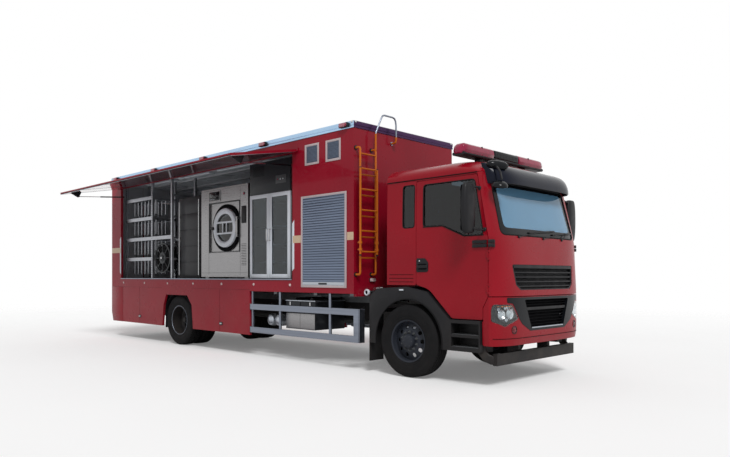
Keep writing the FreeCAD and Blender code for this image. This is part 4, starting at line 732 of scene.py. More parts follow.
def side_seams(side):
    """The joint lines between the skirt's lockers, their latches and the marker studs along one side."""
    form = Form(JOINT_AND_SHADE_BLACK)
    low, high = side * (BOX_HALF + SKIN), side * (BOX_HALF - 0.001)
    for rear, front in ((-5.37, -3.52), (BOX_REAR, -6.56)):
        form.block((rear, low, SKIRT_TOP - SEAM / 2), (front, high, SKIRT_TOP + SEAM / 2), 0)
    for x in (-8.34, -7.55, -4.45):
        form.block((x - SEAM / 2, low, SKIRT_LOW), (x + SEAM / 2, high, SKIRT_TOP), 0)
    form.build("skirt_seams_" + hand(side))

    latches = Form(BLACK_PLASTIC)
    for x, z in ((-7.53, 0.527), (-4.4, 0.526)):
        oval = rectangle((x - 0.055, z - 0.03), (x + 0.055, z + 0.03), 0.026)
        latches.use(BLACK_PLASTIC).plate(oval, "y", side * (BOX_HALF - 0.002), side * (BOX_HALF + 0.006))
        latches.use(STEEL).plate(rectangle((x - 0.035, z - 0.012), (x + 0.035, z + 0.012), 0.011), "y",
                side * (BOX_HALF + 0.005), side * (BOX_HALF + 0.012))
        latches.use(JOINT_AND_SHADE_BLACK).disc(0, 0.002, 0.005, 0.005, (x + 0.02, side * (BOX_HALF + 0.012), z), Y * side, 12)
    latches.build("skirt_latches_" + hand(side))

    stud = Form(PINK_LENS)
    stud.lathe([(-0.002, 0), (-0.002, 0.024), (0.004, 0.024), (0.011, 0.018), (0.014, 0)],
            (-8.3, side * (BOX_HALF + SKIN), 1.27), Y * side, 16)
    row(stud, "side_studs_" + hand(side), "truck", 8, (0.98, 0, 0))


def cream_bands():
    """Cream reflective bands between the opening and the shutter, and round the box's other faces."""
    form = Form(CREAM_TAPE)
    for x0, x1 in ((OPEN_FRONT + 0.02, -2.142), (-1.106, BOX_FRONT - 0.006), (BOX_REAR + 0.006, OPEN_REAR - 0.02)):
        form.block((x0, -BOX_HALF - SKIN, BAND_LOW), (x1, -BOX_HALF + 0.001, BAND_HIGH), 0.0004, 1)
    form.block((BOX_REAR + 0.006, BOX_HALF - 0.001, BAND_LOW), (BOX_FRONT - 0.006, BOX_HALF + SKIN, BAND_HIGH),
            0.0004, 1)
    form.build("cream_bands")


def opening_trim():
    """The rubber seal and pale jamb strips of the big side opening, and the rails and lamps under the roof."""
    out = -BOX_HALF
    seal = Form(RUBBER)
    loop = rectangle((OPEN_REAR - 0.012, OPEN_LOW - 0.012), (OPEN_FRONT + 0.012, OPEN_HIGH + 0.008), 0.03)
    seal.tube([(x, out + 0.0076, z) for x, z in loop], 0.0084, 16, True)
    seal.build("opening_seal")

    jambs = Form(DOOR_WHITE)
    for x, sign in ((OPEN_REAR, 1), (OPEN_FRONT, -1)):
        near, far = sorted((x, x - sign * 0.055))
        jambs.plate([(near, 1.5), (far, 1.46 if sign > 0 else 1.54), (far, 2.34), (near, 2.28)], "y", out - 0.0007,
                out + 0.002, 0.0003)
    jambs.build("opening_jamb_strips")

    ceiling = Form(LINING)
    for y in (-0.95, -0.35, 0.35, 0.95):
        ceiling.block((BOX_REAR + 0.12, y - 0.03, 3.555), (-2.1, y + 0.03, 3.588), 0.004)
    ceiling.use(DOOR_WHITE)
    for x in (-7.6, -6.2, -4.7, -3.2):
        ceiling.block((x - 0.6, -0.72, 3.545), (x + 0.6, -0.56, 3.572), 0.008)
    ceiling.build("ceiling_rails_and_lamps")


def cornice():
    """The rounded roof edge with its drip groove and corner caps, bright with a painted sky reflection along the sides
    and rear and darkened by painted shade along the front, and the sill plate of the opening.
    """
    form = Form(SKY_REFLECTION_TRIM)
    section = rounded([(0.01, 0.002), (0.01, 0.03), (0.005, 0.034), (0.005, 0.04), (0.01, 0.044), (0.01, 0.1135),
            (-0.064, 0.1135), (-0.064, 0.002)], [0.002, 0.002, 0.002, 0.002, 0.002, 0.045, 0.02, 0.002], 4)
    form.sweep([(BOX_FRONT, -BOX_HALF, BOX_TOP), (BOX_FRONT, BOX_HALF, BOX_TOP), (BOX_REAR, BOX_HALF, BOX_TOP),
            (BOX_REAR, -BOX_HALF, BOX_TOP)], section, closed=True)
    form.use(ROOF_WHITE)
    for x in (BOX_FRONT - 0.034, BOX_REAR + 0.034):
        for y in (-1.216, 1.216):
            form.block((x - 0.044, y - 0.044, BOX_TOP + 0.046), (x + 0.044, y + 0.044, BOX_TOP + 0.1145), 0.028, 5)
    form.use(GUARD_METAL)
    form.block((OPEN_REAR + 0.001, -BOX_HALF - 0.014, 1.351), (OPEN_FRONT - 0.001, -BOX_HALF + 0.05, 1.37), 0.004, 3)
    for k in range(5):
        y = -BOX_HALF - 0.006 + 0.011 * k
        form.block((OPEN_REAR + 0.02, y - 0.002, 1.3695), (OPEN_FRONT - 0.02, y + 0.002, 1.3712), 0.0006, 1)
    piece = form.build("roof_cornice_and_sill")
    # The roof edge's front faces take the dark plum aluminium: painted shade with a painted red reflection.
    piece.data.materials.append(FRONT_TRIM_PAINTED_SHADE)
    for face in piece.data.polygons:
        spot = face.center - ORIGIN
        if face.material_index == 0 and spot.x > BOX_FRONT - 0.02 and spot.z < BOX_TOP + 0.112:
            face.material_index = len(piece.data.materials) - 1
    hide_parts("aluminium_trim")


def lining():
    """Pale panels on the inner faces of the box, with narrow joints between them."""
    form = Form(LINING)
    face = BOX_HALF - 0.05
    runs = ((6, -8.848, -1.017, 1, DECK), (1, OPEN_FRONT + 0.002, -1.017, -1, DECK),
            (1, -8.848, OPEN_REAR - 0.002, -1, DECK), (5, OPEN_REAR, OPEN_FRONT, -1, OPEN_HIGH + 0.004))
    for count, rear, front, side, foot in runs:
        wide = (front - rear) / count
        for k in range(count):
            form.block((rear + wide * k + 0.003, side * face, foot), (rear + wide * (k + 1) - 0.003,
                    side * (face - 0.003), CEILING), 0.001, 1)
    for x, inner in ((-8.847, 0.47), (-1.018, 0.003)):
        for side in (-1, 1):
            form.block((x - 0.0025, side * inner, DECK), (x + 0.0025, side * (face - 0.004), CEILING), 0.001, 1)
    form.block((-8.8475, -0.466, 3.262), (-8.845, 0.466, CEILING), 0.001, 1)
    form.use(DOOR_WHITE)
    for k in range(6):
        form.block((-8.845 + 1.305 * k, -1.195, 3.586), (-7.546 + 1.305 * k, 1.195, 3.5895), 0.001, 1)
    form.build("box_lining")
    leaf = Form(LINING)
    leaf.block((-8.86, -0.44, 1.375), (-8.8575, 0.44, 3.24), 0.001, 1)
    leaf.build("rear_door_lining", "rear_door")


def strobe(form, x, y, z):
    """A red warning lamp on its black foot; x, y, z is the middle of its outer side."""
    side = 1 if y > 0 else -1
    form.use(BLACK_PLASTIC).block((x - 0.09, y - side * 0.055, z - 0.036), (x + 0.09, y, z + 0.034), 0.01, 3)
    form.use(RED_LENS).plate(rectangle((x - 0.078, z - 0.029), (x + 0.078, z + 0.029), 0.022), "y", y - side * 0.019,
            y + side * 0.011, 0.006, 3)
    form.use(STEEL)
    for dx in (-0.083, 0.083):
        form.disc(-0.002, 0.003, 0.004, 0.003, (x + dx, y, z), Y * side, 8)


def warning_lamps():
    form = Form(BLACK_PLASTIC)
    for x in (-8.635, -6.87, -4.98, -3.11, -1.15):
        for side in (-1, 1):
            strobe(form, x, side * 1.303, 3.697)
    for y in (-0.845, 0.845):
        form.use(BLACK_PLASTIC).block((-0.966, y - 0.06, 1.33), (-0.952, y + 0.06, 1.384), 0.005, 3)
        form.use(PINK_LENS).plate(rectangle((y - 0.056, 1.332), (y + 0.056, 1.382), 0.014), "x", -0.955, -0.936,
                0.004, 3)
    piece = form.build("warning_lamp_row")
    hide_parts("warning_lamps")


def shutter():
    """Roller shutters of rounded interlocking slats in pale frames with a bottom bar, and the vents above them."""
    rear, front, low, high, bar = -2.134, -1.113, 1.236, 2.704, 0.034
    frames = Form(FRAME_PALE)
    for side in (-1, 1):
        tag = hand(side)
        near, far = side * (BOX_HALF - 0.004), side * (BOX_HALF + 0.016)
        frames.use(FRAME_PALE)
        for x in (rear, front - bar):
            frames.block((x, near, low), (x + bar, far, high), 0.004)
        for z in (low, high - bar):
            frames.block((rear + bar, near, z), (front - bar, far, z + bar), 0.004)
        # A near-black sheet behind the slats, as painted shade in the opening.
        frames.use(JOINT_AND_SHADE_BLACK).block((rear + 0.01, side * (BOX_HALF - 0.01), low + 0.01),
                (front - 0.01, side * (BOX_HALF + 0.001), high - 0.01), 0)
        face = side * (BOX_HALF + 0.002)
        profile = [(0, 0), (0.007, 0.004), (0.0105, 0.014), (0.0105, 0.026), (0.007, 0.036), (0, 0.0395)]
        slat = Form(SHUTTER_METAL)
        slat.rings([[Vector((x, face + side * a, low + 0.084 + b)) for a, b in profile] for x in (rear + bar,
                front - bar)])
        row(slat, "shutter_slats_" + tag, "truck", 34, (0, 0, 0.0405))
        frames.use(ALUMINIUM).block((rear + bar, side * (BOX_HALF + 0.001), low + bar),
                (front - bar, side * (BOX_HALF + 0.014), low + 0.086), 0.004)
        frames.use(BLACK_PLASTIC).plate(rectangle((-1.72, low + 0.046), (-1.53, low + 0.074), 0.01), "y",
                side * (BOX_HALF + 0.013), side * (BOX_HALF + 0.018))
        for start in (-2.036, -1.553):
            near, far = side * (BOX_HALF - 0.03), side * (BOX_HALF + 0.008)
            frames.use(FRAME_PALE)
            for x in (start - 0.014, start + 0.28):
                frames.block((x, near, 3.196), (x + 0.034, far, 3.529), 0.003)
            for z in (3.196, 3.495):
                frames.block((start + 0.02, near, z), (start + 0.28, far, z + 0.034), 0.003)
            # A near-black sheet behind the vent fins, as painted shade in the vent.
            frames.use(JOINT_AND_SHADE_BLACK).block((start + 0.01, side * (BOX_HALF - 0.03), 3.21),
                    (start + 0.29, side * (BOX_HALF - 0.012), 3.51), 0)
            fins = Form(SHUTTER_METAL)
            tilt = Quaternion(X, side * radians(52))
            fins.block((start + 0.021, side * (BOX_HALF - 0.012), 3.236), (start + 0.279, side * (BOX_HALF + 0.004),
                    3.24), 0.0008, 1, tilt)
            row(fins, "vent_fins_%s_%d" % (tag, round(-start * 100)), "truck", 14, (0, 0, 0.019))
    piece = frames.build("shutter_and_vent_frames")
    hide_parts("louvres")


def tail_lockers():
    """The outer skins of the rearmost lockers, down to the corner at the tail."""
    form = Form(RED_BOX)
    for side in (-1, 1):
        form.plate([(BOX_REAR - 0.0015, 0.58), (-8.83, 0.3685), (-8.343, 0.3685), (-8.343, 1.172),
                (BOX_REAR - 0.0015, 1.172)], "y", side * (BOX_HALF - 0.0515), side * (BOX_HALF + 0.0015))
    form.build("tail_lockers")


def box_body():
    for side in (-1, 1):
        side_seams(side)
    cream_bands()
    opening_trim()
    cornice()
    lining()
    tail_lockers()
    warning_lamps()
    shutter()


# Cab

CAB_HALF = 1.15
NOSE_LINE = [(0.5, 1.43), (0.62, 1.462), (0.9, 1.464), (1.18, 1.458), (1.55, 1.428), (1.93, 1.385), (2.3, 1.292),
        (2.64, 1.2), (2.76, 1.17), (2.9, 1.13)]
DOOR_FRONT, DOOR_REAR, DOOR_LOW, DOOR_TOP = 1.26, 0.13, 0.86, 2.72
SHUT = 0.006
BARREL_LOWS = (1.21, 1.64)
PIN_X, PIN_Y = 1.262, 1.158


def smooth_line(points, value):
    """A smooth curve through (value, height) pairs."""
    for k in range(len(points) - 1):
        (a, ya), (b, yb) = points[k], points[k + 1]
        if value <= b or k == len(points) - 2:
            before, after = points[max(0, k - 1)], points[min(len(points) - 1, k + 2)]
            slope_a = (yb - before[1]) / (b - before[0])
            slope_b = (after[1] - ya) / (after[0] - a)
            t = min(1, max(0, (value - a) / (b - a)))
            wide = b - a
            return ((2 * t ** 3 - 3 * t ** 2 + 1) * ya + (t ** 3 - 2 * t ** 2 + t) * wide * slope_a
                    + (3 * t ** 2 - 2 * t ** 3) * yb + (t ** 3 - t ** 2) * wide * slope_b)


def nose_x(z):
    return smooth_line(NOSE_LINE, z)


def corner_x(z):
    """Where the nose meets the side: the door's front edge with its gap."""
    return DOOR_FRONT + SHUT + 0.002 - max(0, 0.2012 * (z - 1.9))


def side_y(z):
    """The side's half width, drawn in a little towards the roof and the sill."""
    return CAB_HALF - 0.016 * max(0, (z - 1.9) / 0.9) ** 2 - 0.008 * max(0, (1.2 - z) / 0.5) ** 2


NOSE_STEPS = 120
nose_slices = {}


def nose_slice(z):
    """The plan curve of the nose at a height: points from the middle to the corner, with the length so far."""
    key = round(z, 3)
    if key not in nose_slices:
        front, back, half = nose_x(z), corner_x(z), side_y(z)
        points, lengths = [], []
        for k in range(NOSE_STEPS + 1):
            angle = pi / 2 * k / NOSE_STEPS
            y = half * sin(angle) ** 0.4
            x = back + (front - back) * cos(angle) ** 1.25
            points.append((x, y))
            lengths.append(0 if k == 0 else lengths[-1] + dist(points[-1], points[-2]))
        nose_slices[key] = points, lengths
    return nose_slices[key]


def nose_place(s, z, inward=0):
    """Place and outward normal on the nose; s runs from -1 at the right door to 1 at the left door."""
    points, lengths = nose_slice(z)
    wanted = min(abs(s), 1) * lengths[-1]
    k = next((k for k in range(1, len(lengths)) if lengths[k] >= wanted), len(lengths) - 1)
    t = (wanted - lengths[k - 1]) / max(1e-9, lengths[k] - lengths[k - 1])
    (xa, ya), (xb, yb) = points[k - 1], points[k]
    x, y = xa + (xb - xa) * t, ya + (yb - ya) * t
    along = Vector((xb - xa, yb - ya))
    flat = Vector((along.y, -along.x)).normalized()
    lean = (nose_x(z + 0.01) - nose_x(z - 0.01)) / 0.02
    normal = Vector((flat.x, flat.y, -lean * flat.x)).normalized()
    side = 1 if s >= 0 else -1
    normal.y *= side
    return Vector((x, y * side, z)) - normal * inward, normal


def nose_share(y, z):
    """The s of a sideways place at a height."""
    points, lengths = nose_slice(z)
    wide = min(abs(y), points[-1][1])
    k = next((k for k in range(1, len(points)) if points[k][1] >= wide), len(points) - 1)
    t = (wide - points[k - 1][1]) / max(1e-9, points[k][1] - points[k - 1][1])
    s = (lengths[k - 1] + (lengths[k] - lengths[k - 1]) * t) / lengths[-1]
    return copysign(s, y)


def nose_at(y, z, inward=0):
    """Place and outward normal on the nose at a sideways place and a height."""
    return nose_place(nose_share(y, z), z, inward)


FLAT_HALF = 1.35


def on_nose(pairs, step=None):
    """Turns (y, z) pairs, divided into steps, into the nose's flat (s, z) plane, with s stretched to about metres."""
    return [(nose_share(y, z) * FLAT_HALF, z) for y, z in (divided(pairs, step) if step else pairs)]


def nose_surface(inward=0):
    return lambda s, z: nose_place(s / FLAT_HALF, z, inward)


SCREEN_HOLE = rounded([(-0.985, 1.945), (0.985, 1.945), (0.955, 2.64), (-0.955, 2.64)], [0.09, 0.09, 0.07, 0.07], 6)
GRILLE_HOLE = rounded([(-0.68, 1.235), (0.68, 1.235), (0.775, 1.3), (0.825, 1.565), (-0.825, 1.565), (-0.775, 1.3)],
        [0.03, 0.03, 0.05, 0.03, 0.03, 0.05])
LAMP_OUTLINE = rounded([(1.128, 1.058), (0.863, 1.054), (0.734, 0.867), (0.98, 0.774), (1.136, 0.842),
        (1.138, 0.986)], [0.03, 0.02, 0.03, 0.03, 0.03, 0.03])
INTAKE = rounded([(-0.44, 0.735), (0.44, 0.735), (0.6, 1.11), (-0.6, 1.11)], 0.02)
MASK = rounded([(-0.47, 0.705), (0.47, 0.705), (0.66, 0.8), (0.725, 0.868), (0.852, 1.066), (0.95, 1.075),
        (0.95, 1.143), (-0.95, 1.143), (-0.95, 1.075), (-0.852, 1.066), (-0.725, 0.868), (-0.66, 0.8)],
        [0.02, 0.02, 0.05, 0.03, 0.03, 0.02, 0.01, 0.01, 0.02, 0.03, 0.03, 0.05])


JOINT_HALF = 0.003


def panel_line(form, pairs):
    """A narrow dark joint drawn on the nose between (y, z) places."""
    flat = on_nose(pairs)
    places = []
    for (a, za), (b, zb) in zip(flat, flat[1:]):
        steps = max(2, int(hypot(b - a, zb - za) / 0.03))
        places += [(a + (b - a) * k / steps, za + (zb - za) * k / steps) for k in range(steps)]
    places.append(flat[-1])
    form.sweep([nose_place(s / FLAT_HALF, z, -0.0008)[0] for s, z in places], oblong(JOINT_HALF, JOINT_HALF))


DEFLECTOR_SECTION = rounded([(-0.005, -0.021), (0.005, -0.023), (0.005, 0.023), (-0.005, 0.021)], 0.004, 2)
DEFLECTOR_HEIGHTS = (1.8, 1.85)


def cab_front():
    form = Form(RED_CAB)
    low, top = 1.16, 2.752
    outline = rectangle((-FLAT_HALF, low), (FLAT_HALF, top))
    form_holes = [on_nose(SCREEN_HOLE, 0.05), on_nose(GRILLE_HOLE, 0.05)]
    skin_panel(form, outline, form_holes, nose_surface(), 0.028, 0.045)
    piece = form.build("cab_front_skin")
    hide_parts("cab_front")

    blades = Form(BLACK_PLASTIC)
    for side in (-1, 1):
        for z in DEFLECTOR_HEIGHTS:
            path = [nose_place(side * s, z, -out)[0] for s,
                    out in ((0.997, 0.033), (0.975, 0.032), (0.95, 0.025), (0.932, 0.003))]
            blades.sweep(path, DEFLECTOR_SECTION)
    blades.build("corner_deflectors")

    seal = Form(RUBBER)
    path = [nose_place(s / FLAT_HALF, z, 0.004)[0] for s, z in on_nose(SCREEN_HOLE, 0.04)]
    seal.tube(path, 0.011, 8, True)
    seal.build("screen_seal")


def windscreen():
    # The screen is tinted sky blue as a painted sky reflection.
    glass_form = Form(WINDSCREEN_PAINTED_SKY_GLASS)
    edge = rounded([(-0.992, 1.938), (0.992, 1.938), (0.962, 2.647), (-0.962, 2.647)], [0.09, 0.09, 0.07, 0.07], 6)
    skin_panel(glass_form, on_nose(edge, 0.06), [], nose_surface(0.01), 0.006, 0.06)
    # The gloss black border is the screen's frit; its clear middle is raised so that the band along the bottom is
    # deeper, as painted shade from the dashboard behind the glass.
    centre_z = sum(z for y, z in SCREEN_HOLE) / len(SCREEN_HOLE)
    clear = [(y * 0.905, centre_z + (z - centre_z) * 0.79 + 0.02) for y, z in SCREEN_HOLE]
    skin_panel(glass_form.use(GLOSS_BLACK), on_nose(edge, 0.06), [on_nose(clear, 0.05)], nose_surface(0.0085), 0.0012,
            0.06)
    glass_form.use(SHADE_GLASS)
    for side in (-1, 1):
        pane = rectangle((-0.118, 2.082), (0.103, 2.688), 0.05)
        skin_panel(glass_form, pane, [], flank(side, 0.012), 0.005, 0.08)
    piece = glass_form.build("cab_panes")
    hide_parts("cab_glass")
    # A near-black band just inside the screen's edge, as painted shade behind the glass.
    border = Form(JOINT_AND_SHADE_BLACK)
    inner = rounded([(-0.94, 1.99), (0.94, 1.99), (0.912, 2.592), (-0.912, 2.592)], [0.07, 0.07, 0.05, 0.05], 6)
    skin_panel(border, on_nose(edge, 0.06), [on_nose(inner, 0.06)], nose_surface(0.0175), 0.001, 0.06)
    border.build("screen_border")


def flank(side, inward=0):
    """The surface of the cab's side, which draws in a little towards the roof and the sill."""
    def surface(x, z):
        normal = Vector((0, side, 0.03 * max(0, z - 1.9))).normalized()
        return Vector((x, side * side_y(z), z)) - normal * inward, normal
    return surface


def cab_sides():
    form = Form(RED_CAB)
    quarter = rectangle((-0.4, 1.29), (DOOR_REAR - SHUT, 2.74),  [0.012, 0.03, 0.004, 0.012])
    window = rectangle((-0.11, 2.09), (0.095, 2.68), 0.045)
    above = [(DOOR_REAR - SHUT - 0.01, DOOR_TOP + SHUT), (1.098, DOOR_TOP + SHUT), (1.095, 2.742),
            (DOOR_REAR - SHUT - 0.01, 2.742)]
    for side in (-1, 1):
        skin_panel(form, quarter, [window], flank(side), 0.045, 0.08)
        skin_panel(form, above, [], flank(side), 0.045, 0.2)
    for side in (-1, 1):
        for low in BARREL_LOWS:
            for a, b in ((low - 0.022, low - 0.0003), (low + 0.0803, low + 0.102)):
                form.block((1.261, side * CAB_HALF, a), (1.289, side * 1.1645, b))
            form.disc(-0.01, 0.09, 0.004, 0.004, (PIN_X, side * PIN_Y, low), Z, 12)
    piece = form.build("cab_side_skins")
    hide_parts("cab_sides")

    lines = Form(JOINT_AND_SHADE_BLACK)
    rubber = Form(RUBBER)
    for side in (-1, 1):
        for z in (1.335, 1.385, 1.435):
            lines.block((-0.36, side * (CAB_HALF + 0.0006), z - 0.004), (0.08, side * (CAB_HALF - 0.002), z + 0.004),
                    0)
        loop = divided(window, 0.08)
        rubber.tube([(x, side * (side_y(z) - 0.003), z) for x, z in loop], 0.008, 8, True)
        gutter = [(-0.395, 2.7475)] + [(x, 2.7475) for x in (0, 0.4, 0.8, 1.06, 1.092)]
        rubber.sweep([(x, side * (side_y(z) + 0.002), z) for x, z in gutter],
                [(-0.008, -0.0045), (0.006, -0.0045), (0.01, 0.002), (0.006, 0.0045), (-0.008, 0.0045)])
    lines.build("quarter_grooves")
    rubber.build("window_seals_and_gutter")


ROOF_LOW, CROWN = 2.754, 2.999
ROOF_REAR, BEND_X, ROOF_BEND = -0.4, 0.45, 0.5


def roof_point(along, across):
    """A point of the roof's outer skin; along runs 0 at the rear to 1 at the front edge, across -1 to 1."""
    swing = copysign(1 - (1 - abs(across)) ** 2, across)
    edge = corner_x(2.75) - 0.004 + (nose_x(2.75) - corner_x(2.75)) * max(0, 1 - abs(swing) ** 5) ** 0.625
    if along < ROOF_BEND:
        x = ROOF_REAR + (BEND_X - ROOF_REAR) * along / ROOF_BEND
        front = 1
    else:
        t = (along - ROOF_BEND) / (1 - ROOF_BEND)
        reach = 1 - (1 - t) ** 2
        x = BEND_X + (edge - BEND_X) * reach
        front = max(0, 1 - reach ** 3) ** 0.5
    side = max(0, 1 - abs(swing) ** 3.2) ** 0.4
    return Vector((x, 1.147 * swing, ROOF_LOW + (CROWN - ROOF_LOW) * side * front))


def cab_roof():
    form = Form(RED_CAB)
    rows, columns = 44, 72
    points = [roof_point(r / rows, -1 + 2 * c / columns) for r in range(rows + 1) for c in range(columns + 1)]
    wide = columns + 1
    faces = [[r * wide + c, r * wide + c + 1, (r + 1) * wide + c + 1, (r + 1) * wide + c] for r in range(rows)
            for c in range(columns)]
    middle = Vector((0.35, 0, ROOF_LOW))
    inner_start = len(points)
    for p in list(points):
        q = middle + (p - middle) * 0.965
        q.z = max(ROOF_LOW, p.z - 0.025)
        points.append(q)
    faces += [[inner_start + k for k in face[::-1]] for face in faces[:rows * columns]]
    rim = (list(range(wide)) + [r * wide + columns for r in range(1, rows + 1)]
           + [rows * wide + c for c in range(columns - 1, -1, -1)] + [r * wide for r in range(rows - 1, 0, -1)])
    for a, b in zip(rim, rim[1:] + rim[:1]):
        faces.append([b, a, inner_start + a, inner_start + b])
    form.add(points, faces)
    piece = form.build("cab_roof_shell")
    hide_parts("cab_roof")


DOOR_OUTLINE = [(DOOR_REAR, 1.298), (0.345, 1.24), (0.716, DOOR_LOW), (DOOR_FRONT - 0.078, DOOR_LOW),
        (DOOR_FRONT - 0.078, 1.01), (DOOR_FRONT, 1.16), (DOOR_FRONT, 1.9), (1.095, DOOR_TOP), (DOOR_REAR, DOOR_TOP)]
DOOR_ROUND = [0.03, 0.3, 0.06, 0.02, 0.1, 0.1, 0.3, 0.03, 0.03]
WINDOW_OUTLINE = [(0.248, 2.09), (0.56, 2.09), (0.9, 1.94), (1.198, 1.94), (1.06, 2.662), (0.248, 2.662)]
WINDOW_ROUND = [0.05, 0.12, 0.12, 0.05, 0.06, 0.05]


def cab_door(side):
    tag = hand(side)
    body = "cab_door_" + tag
    outline = rounded(DOOR_OUTLINE, DOOR_ROUND, 6)
    window = rounded(WINDOW_OUTLINE, WINDOW_ROUND, 6)
    form = Form(RED_CAB)
    skin_panel(form, outline, [window], flank(side), 0.05, 0.07)
    for low in BARREL_LOWS:
        form.lathe([(0, 0.0043), (0, 0.007), (0.08, 0.007), (0.08, 0.0043)], (PIN_X, side * PIN_Y, low), Z, 16)
        form.block((1.236, side * PIN_Y, low + 0.002), (1.256, side * 1.148, low + 0.078), 0.001)
    piece = form.build("door_skin_" + tag, body)
    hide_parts("door_" + tag)

    pane = Form(SHADE_GLASS)
    skin_panel(pane, window, [], flank(side, 0.014), 0.005, 0.1)
    piece = pane.build("door_pane_" + tag, body)
    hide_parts("door_glass_" + tag)

    rubber = Form(RUBBER)
    rubber.tube([(x, side * (side_y(z) - 0.003), z) for x, z in divided(window, 0.1)], 0.009, 8, True)
    lip = rounded([(0.246, 2.078), (0.566, 2.078), (0.905, 1.929), (1.202, 1.929), (1.198, 1.945), (0.905, 1.945),
            (0.57, 2.094), (0.246, 2.094)], 0.006, 2)
    rubber.plate(lip, "y", side * (CAB_HALF - 0.004), side * (CAB_HALF + 0.006))
    rubber.build("door_window_seal_" + tag, body)
    door_trim(side, tag, body)


def door_trim(side, tag, body):
    """The door's handle, its deflector blades and the mirror on its arms."""
    trim = Form(BLACK_PLASTIC)
    skin = side * CAB_HALF

    trim.plate(rounded([(0.135, 1.47), (0.335, 1.47), (0.335, 1.6), (0.28, 1.66), (0.135, 1.66)],
            [0.02, 0.04, 0.05, 0.04, 0.02]), "y", skin - side * 0.002, skin + side * 0.006, 0.003)
    trim.use(JOINT_AND_SHADE_BLACK).plate(rectangle((0.155, 1.505), (0.315, 1.585), 0.03), "y",
            skin + side * 0.004, skin + side * 0.0075, 0.0015)
    trim.use(BLACK_PLASTIC)
    grip = [(0.15, 0.008), (0.17, 0.026), (0.21, 0.031), (0.262, 0.031), (0.3, 0.026), (0.322, 0.008)]
    trim.sweep([(x, skin + side * out, 1.545) for x, out in grip], oblong(0.007, 0.022, 0.006, 3))
    trim.use(STEEL).disc(0, 0.003, 0.011, 0.01, (0.19, skin + side * 0.006, 1.625), Y * side, 20)
    trim.use(BLACK_PLASTIC)
    for z in DEFLECTOR_HEIGHTS:
        blade = [(1.036, 0.003), (1.06, 0.015), (1.11, 0.018), (1.252, 0.0175)]
        trim.sweep([(x, skin + side * out, z) for x, out in blade], DEFLECTOR_SECTION)
    for arm in (((1.135, 0, 2.535), (1.137, 0.06, 2.547), (1.128, 0.15, 2.535), (1.122, 0.24, 2.505)),
            ((1.212, 0, 2.005), (1.21, 0.05, 1.998), (1.18, 0.15, 2), (1.122, 0.22, 2.03))):
        trim.tube([(x, skin + side * out, z) for x, out, z in arm], 0.013, 12)
        trim.lathe([(-0.002, 0), (-0.002, 0.028), (0.006, 0.026), (0.014, 0.016), (0.014, 0)],
                (arm[0][0], skin, arm[0][2]), Y * side, 24)
    mirror_head(trim, side)
    piece = trim.build("door_trim_" + tag, body)
    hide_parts("door_mirror_" + tag)


def mirror_head(form, side):
    """A tall mirror housing with a crowned front, a main glass above and a wide-angle glass below."""
    middle_y, half_y = side * 1.377, 0.122
    low, top, layers, rings = 1.946, 2.579, 18, []
    for k in range(layers + 1):
        angle = pi * (k / layers)
        z = (low + top) / 2 - (top - low) / 2 * cos(angle)
        share = max(0.02, sin(angle)) ** 0.28
        ring_points = []
        for a in turns(28):
            across, ahead = cos(a), sin(a)
            wide = copysign(abs(across) ** 0.55, across) * half_y * share
            deep = (ahead ** 0.75 * 0.052 if ahead >= 0 else -abs(ahead) ** 0.3 * 0.034) * share
            ring_points.append((1.118 + deep, middle_y + wide, z))
        rings.append(ring_points)
    form.use(BLACK_PLASTIC).rings(rings)
    for z0, z1 in ((2.19, 2.545), (1.985, 2.165)):
        form.use(CHROME).plate(rectangle((middle_y - 0.102, z0), (middle_y + 0.102, z1), 0.03), "x", 1.0795, 1.0835,
                0.001)
    form.use(JOINT_AND_SHADE_BLACK)
    form.plate(rectangle((middle_y - 0.11, 1.975), (middle_y + 0.11, 2.556), 0.04), "x", 1.0825, 1.0865, 0.001)


# Bumper, lamps, grilles

def bumper():
    form = Form(RED_CAB)
    low, top = 0.53, 1.15
    outline = rectangle((-FLAT_HALF, low), (FLAT_HALF, top))
    lamp_left = on_nose(LAMP_OUTLINE, 0.05)
    lamp_right = [(-s, z) for s, z in lamp_left]
    skin_panel(form, outline, [on_nose(INTAKE, 0.05), lamp_left, lamp_right], nose_surface(), 0.03, 0.045)
    for side in (-1, 1):
        front = corner_x(1) + 0.002
        end = rounded([(1.175, low), (front, low), (front, top), (front - 0.0045, top), (1.19, 1.006), (1.19, 0.838),
                (1.175, 0.838)], [0.03, 0.001, 0.001, 0.001, 0.08, 0.001, 0.001])
        skin_panel(form, end, [], flank(side), 0.045, 0.06)
    piece = form.build("bumper_skin")
    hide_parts("bumper")

    lines = Form(JOINT_AND_SHADE_BLACK)
    panel_line(lines, [(-1.12, 0.622), (-0.6, 0.622), (0, 0.622), (0.6, 0.622), (1.12, 0.622)])
    lines.build("bumper_joint")

    mask = Form(GLOSS_BLACK)
    skin_panel(mask, on_nose(MASK, 0.05), [on_nose(INTAKE, 0.05)], nose_surface(-0.0035), 0.006, 0.045)
    mask.rings([[nose_place(0.992 * s / FLAT_HALF, 0.9 + 0.992 * (z - 0.9), inward)[0]
            for s, z in on_nose(INTAKE, 0.03)] for inward in (-0.002, 0.07)], capped=False)
    mask.build("front_mask")

    fog = Form(GLOSS_BLACK)
    for side in (-1, 1):
        place, normal = nose_at(side * 0.826, 0.731)
        fog.use(BLACK_PLASTIC).loop_lathe([(-0.012, 0.048), (0.003, 0.052), (0.006, 0.047), (0.001, 0.04),
                (-0.012, 0.04)], place, normal, 36)
        fog.use(CHROME).lathe([(-0.035, 0), (-0.03, 0.02), (-0.008, 0.041), (-0.01, 0)], place, normal, 36)
        fog.use(CLEAR_GLASS).lathe([(-0.006, 0), (-0.006, 0.04), (0, 0.038), (0.004, 0.02), (0.005, 0)], place,
                normal, 36)
    fog.build("fog_lamps")


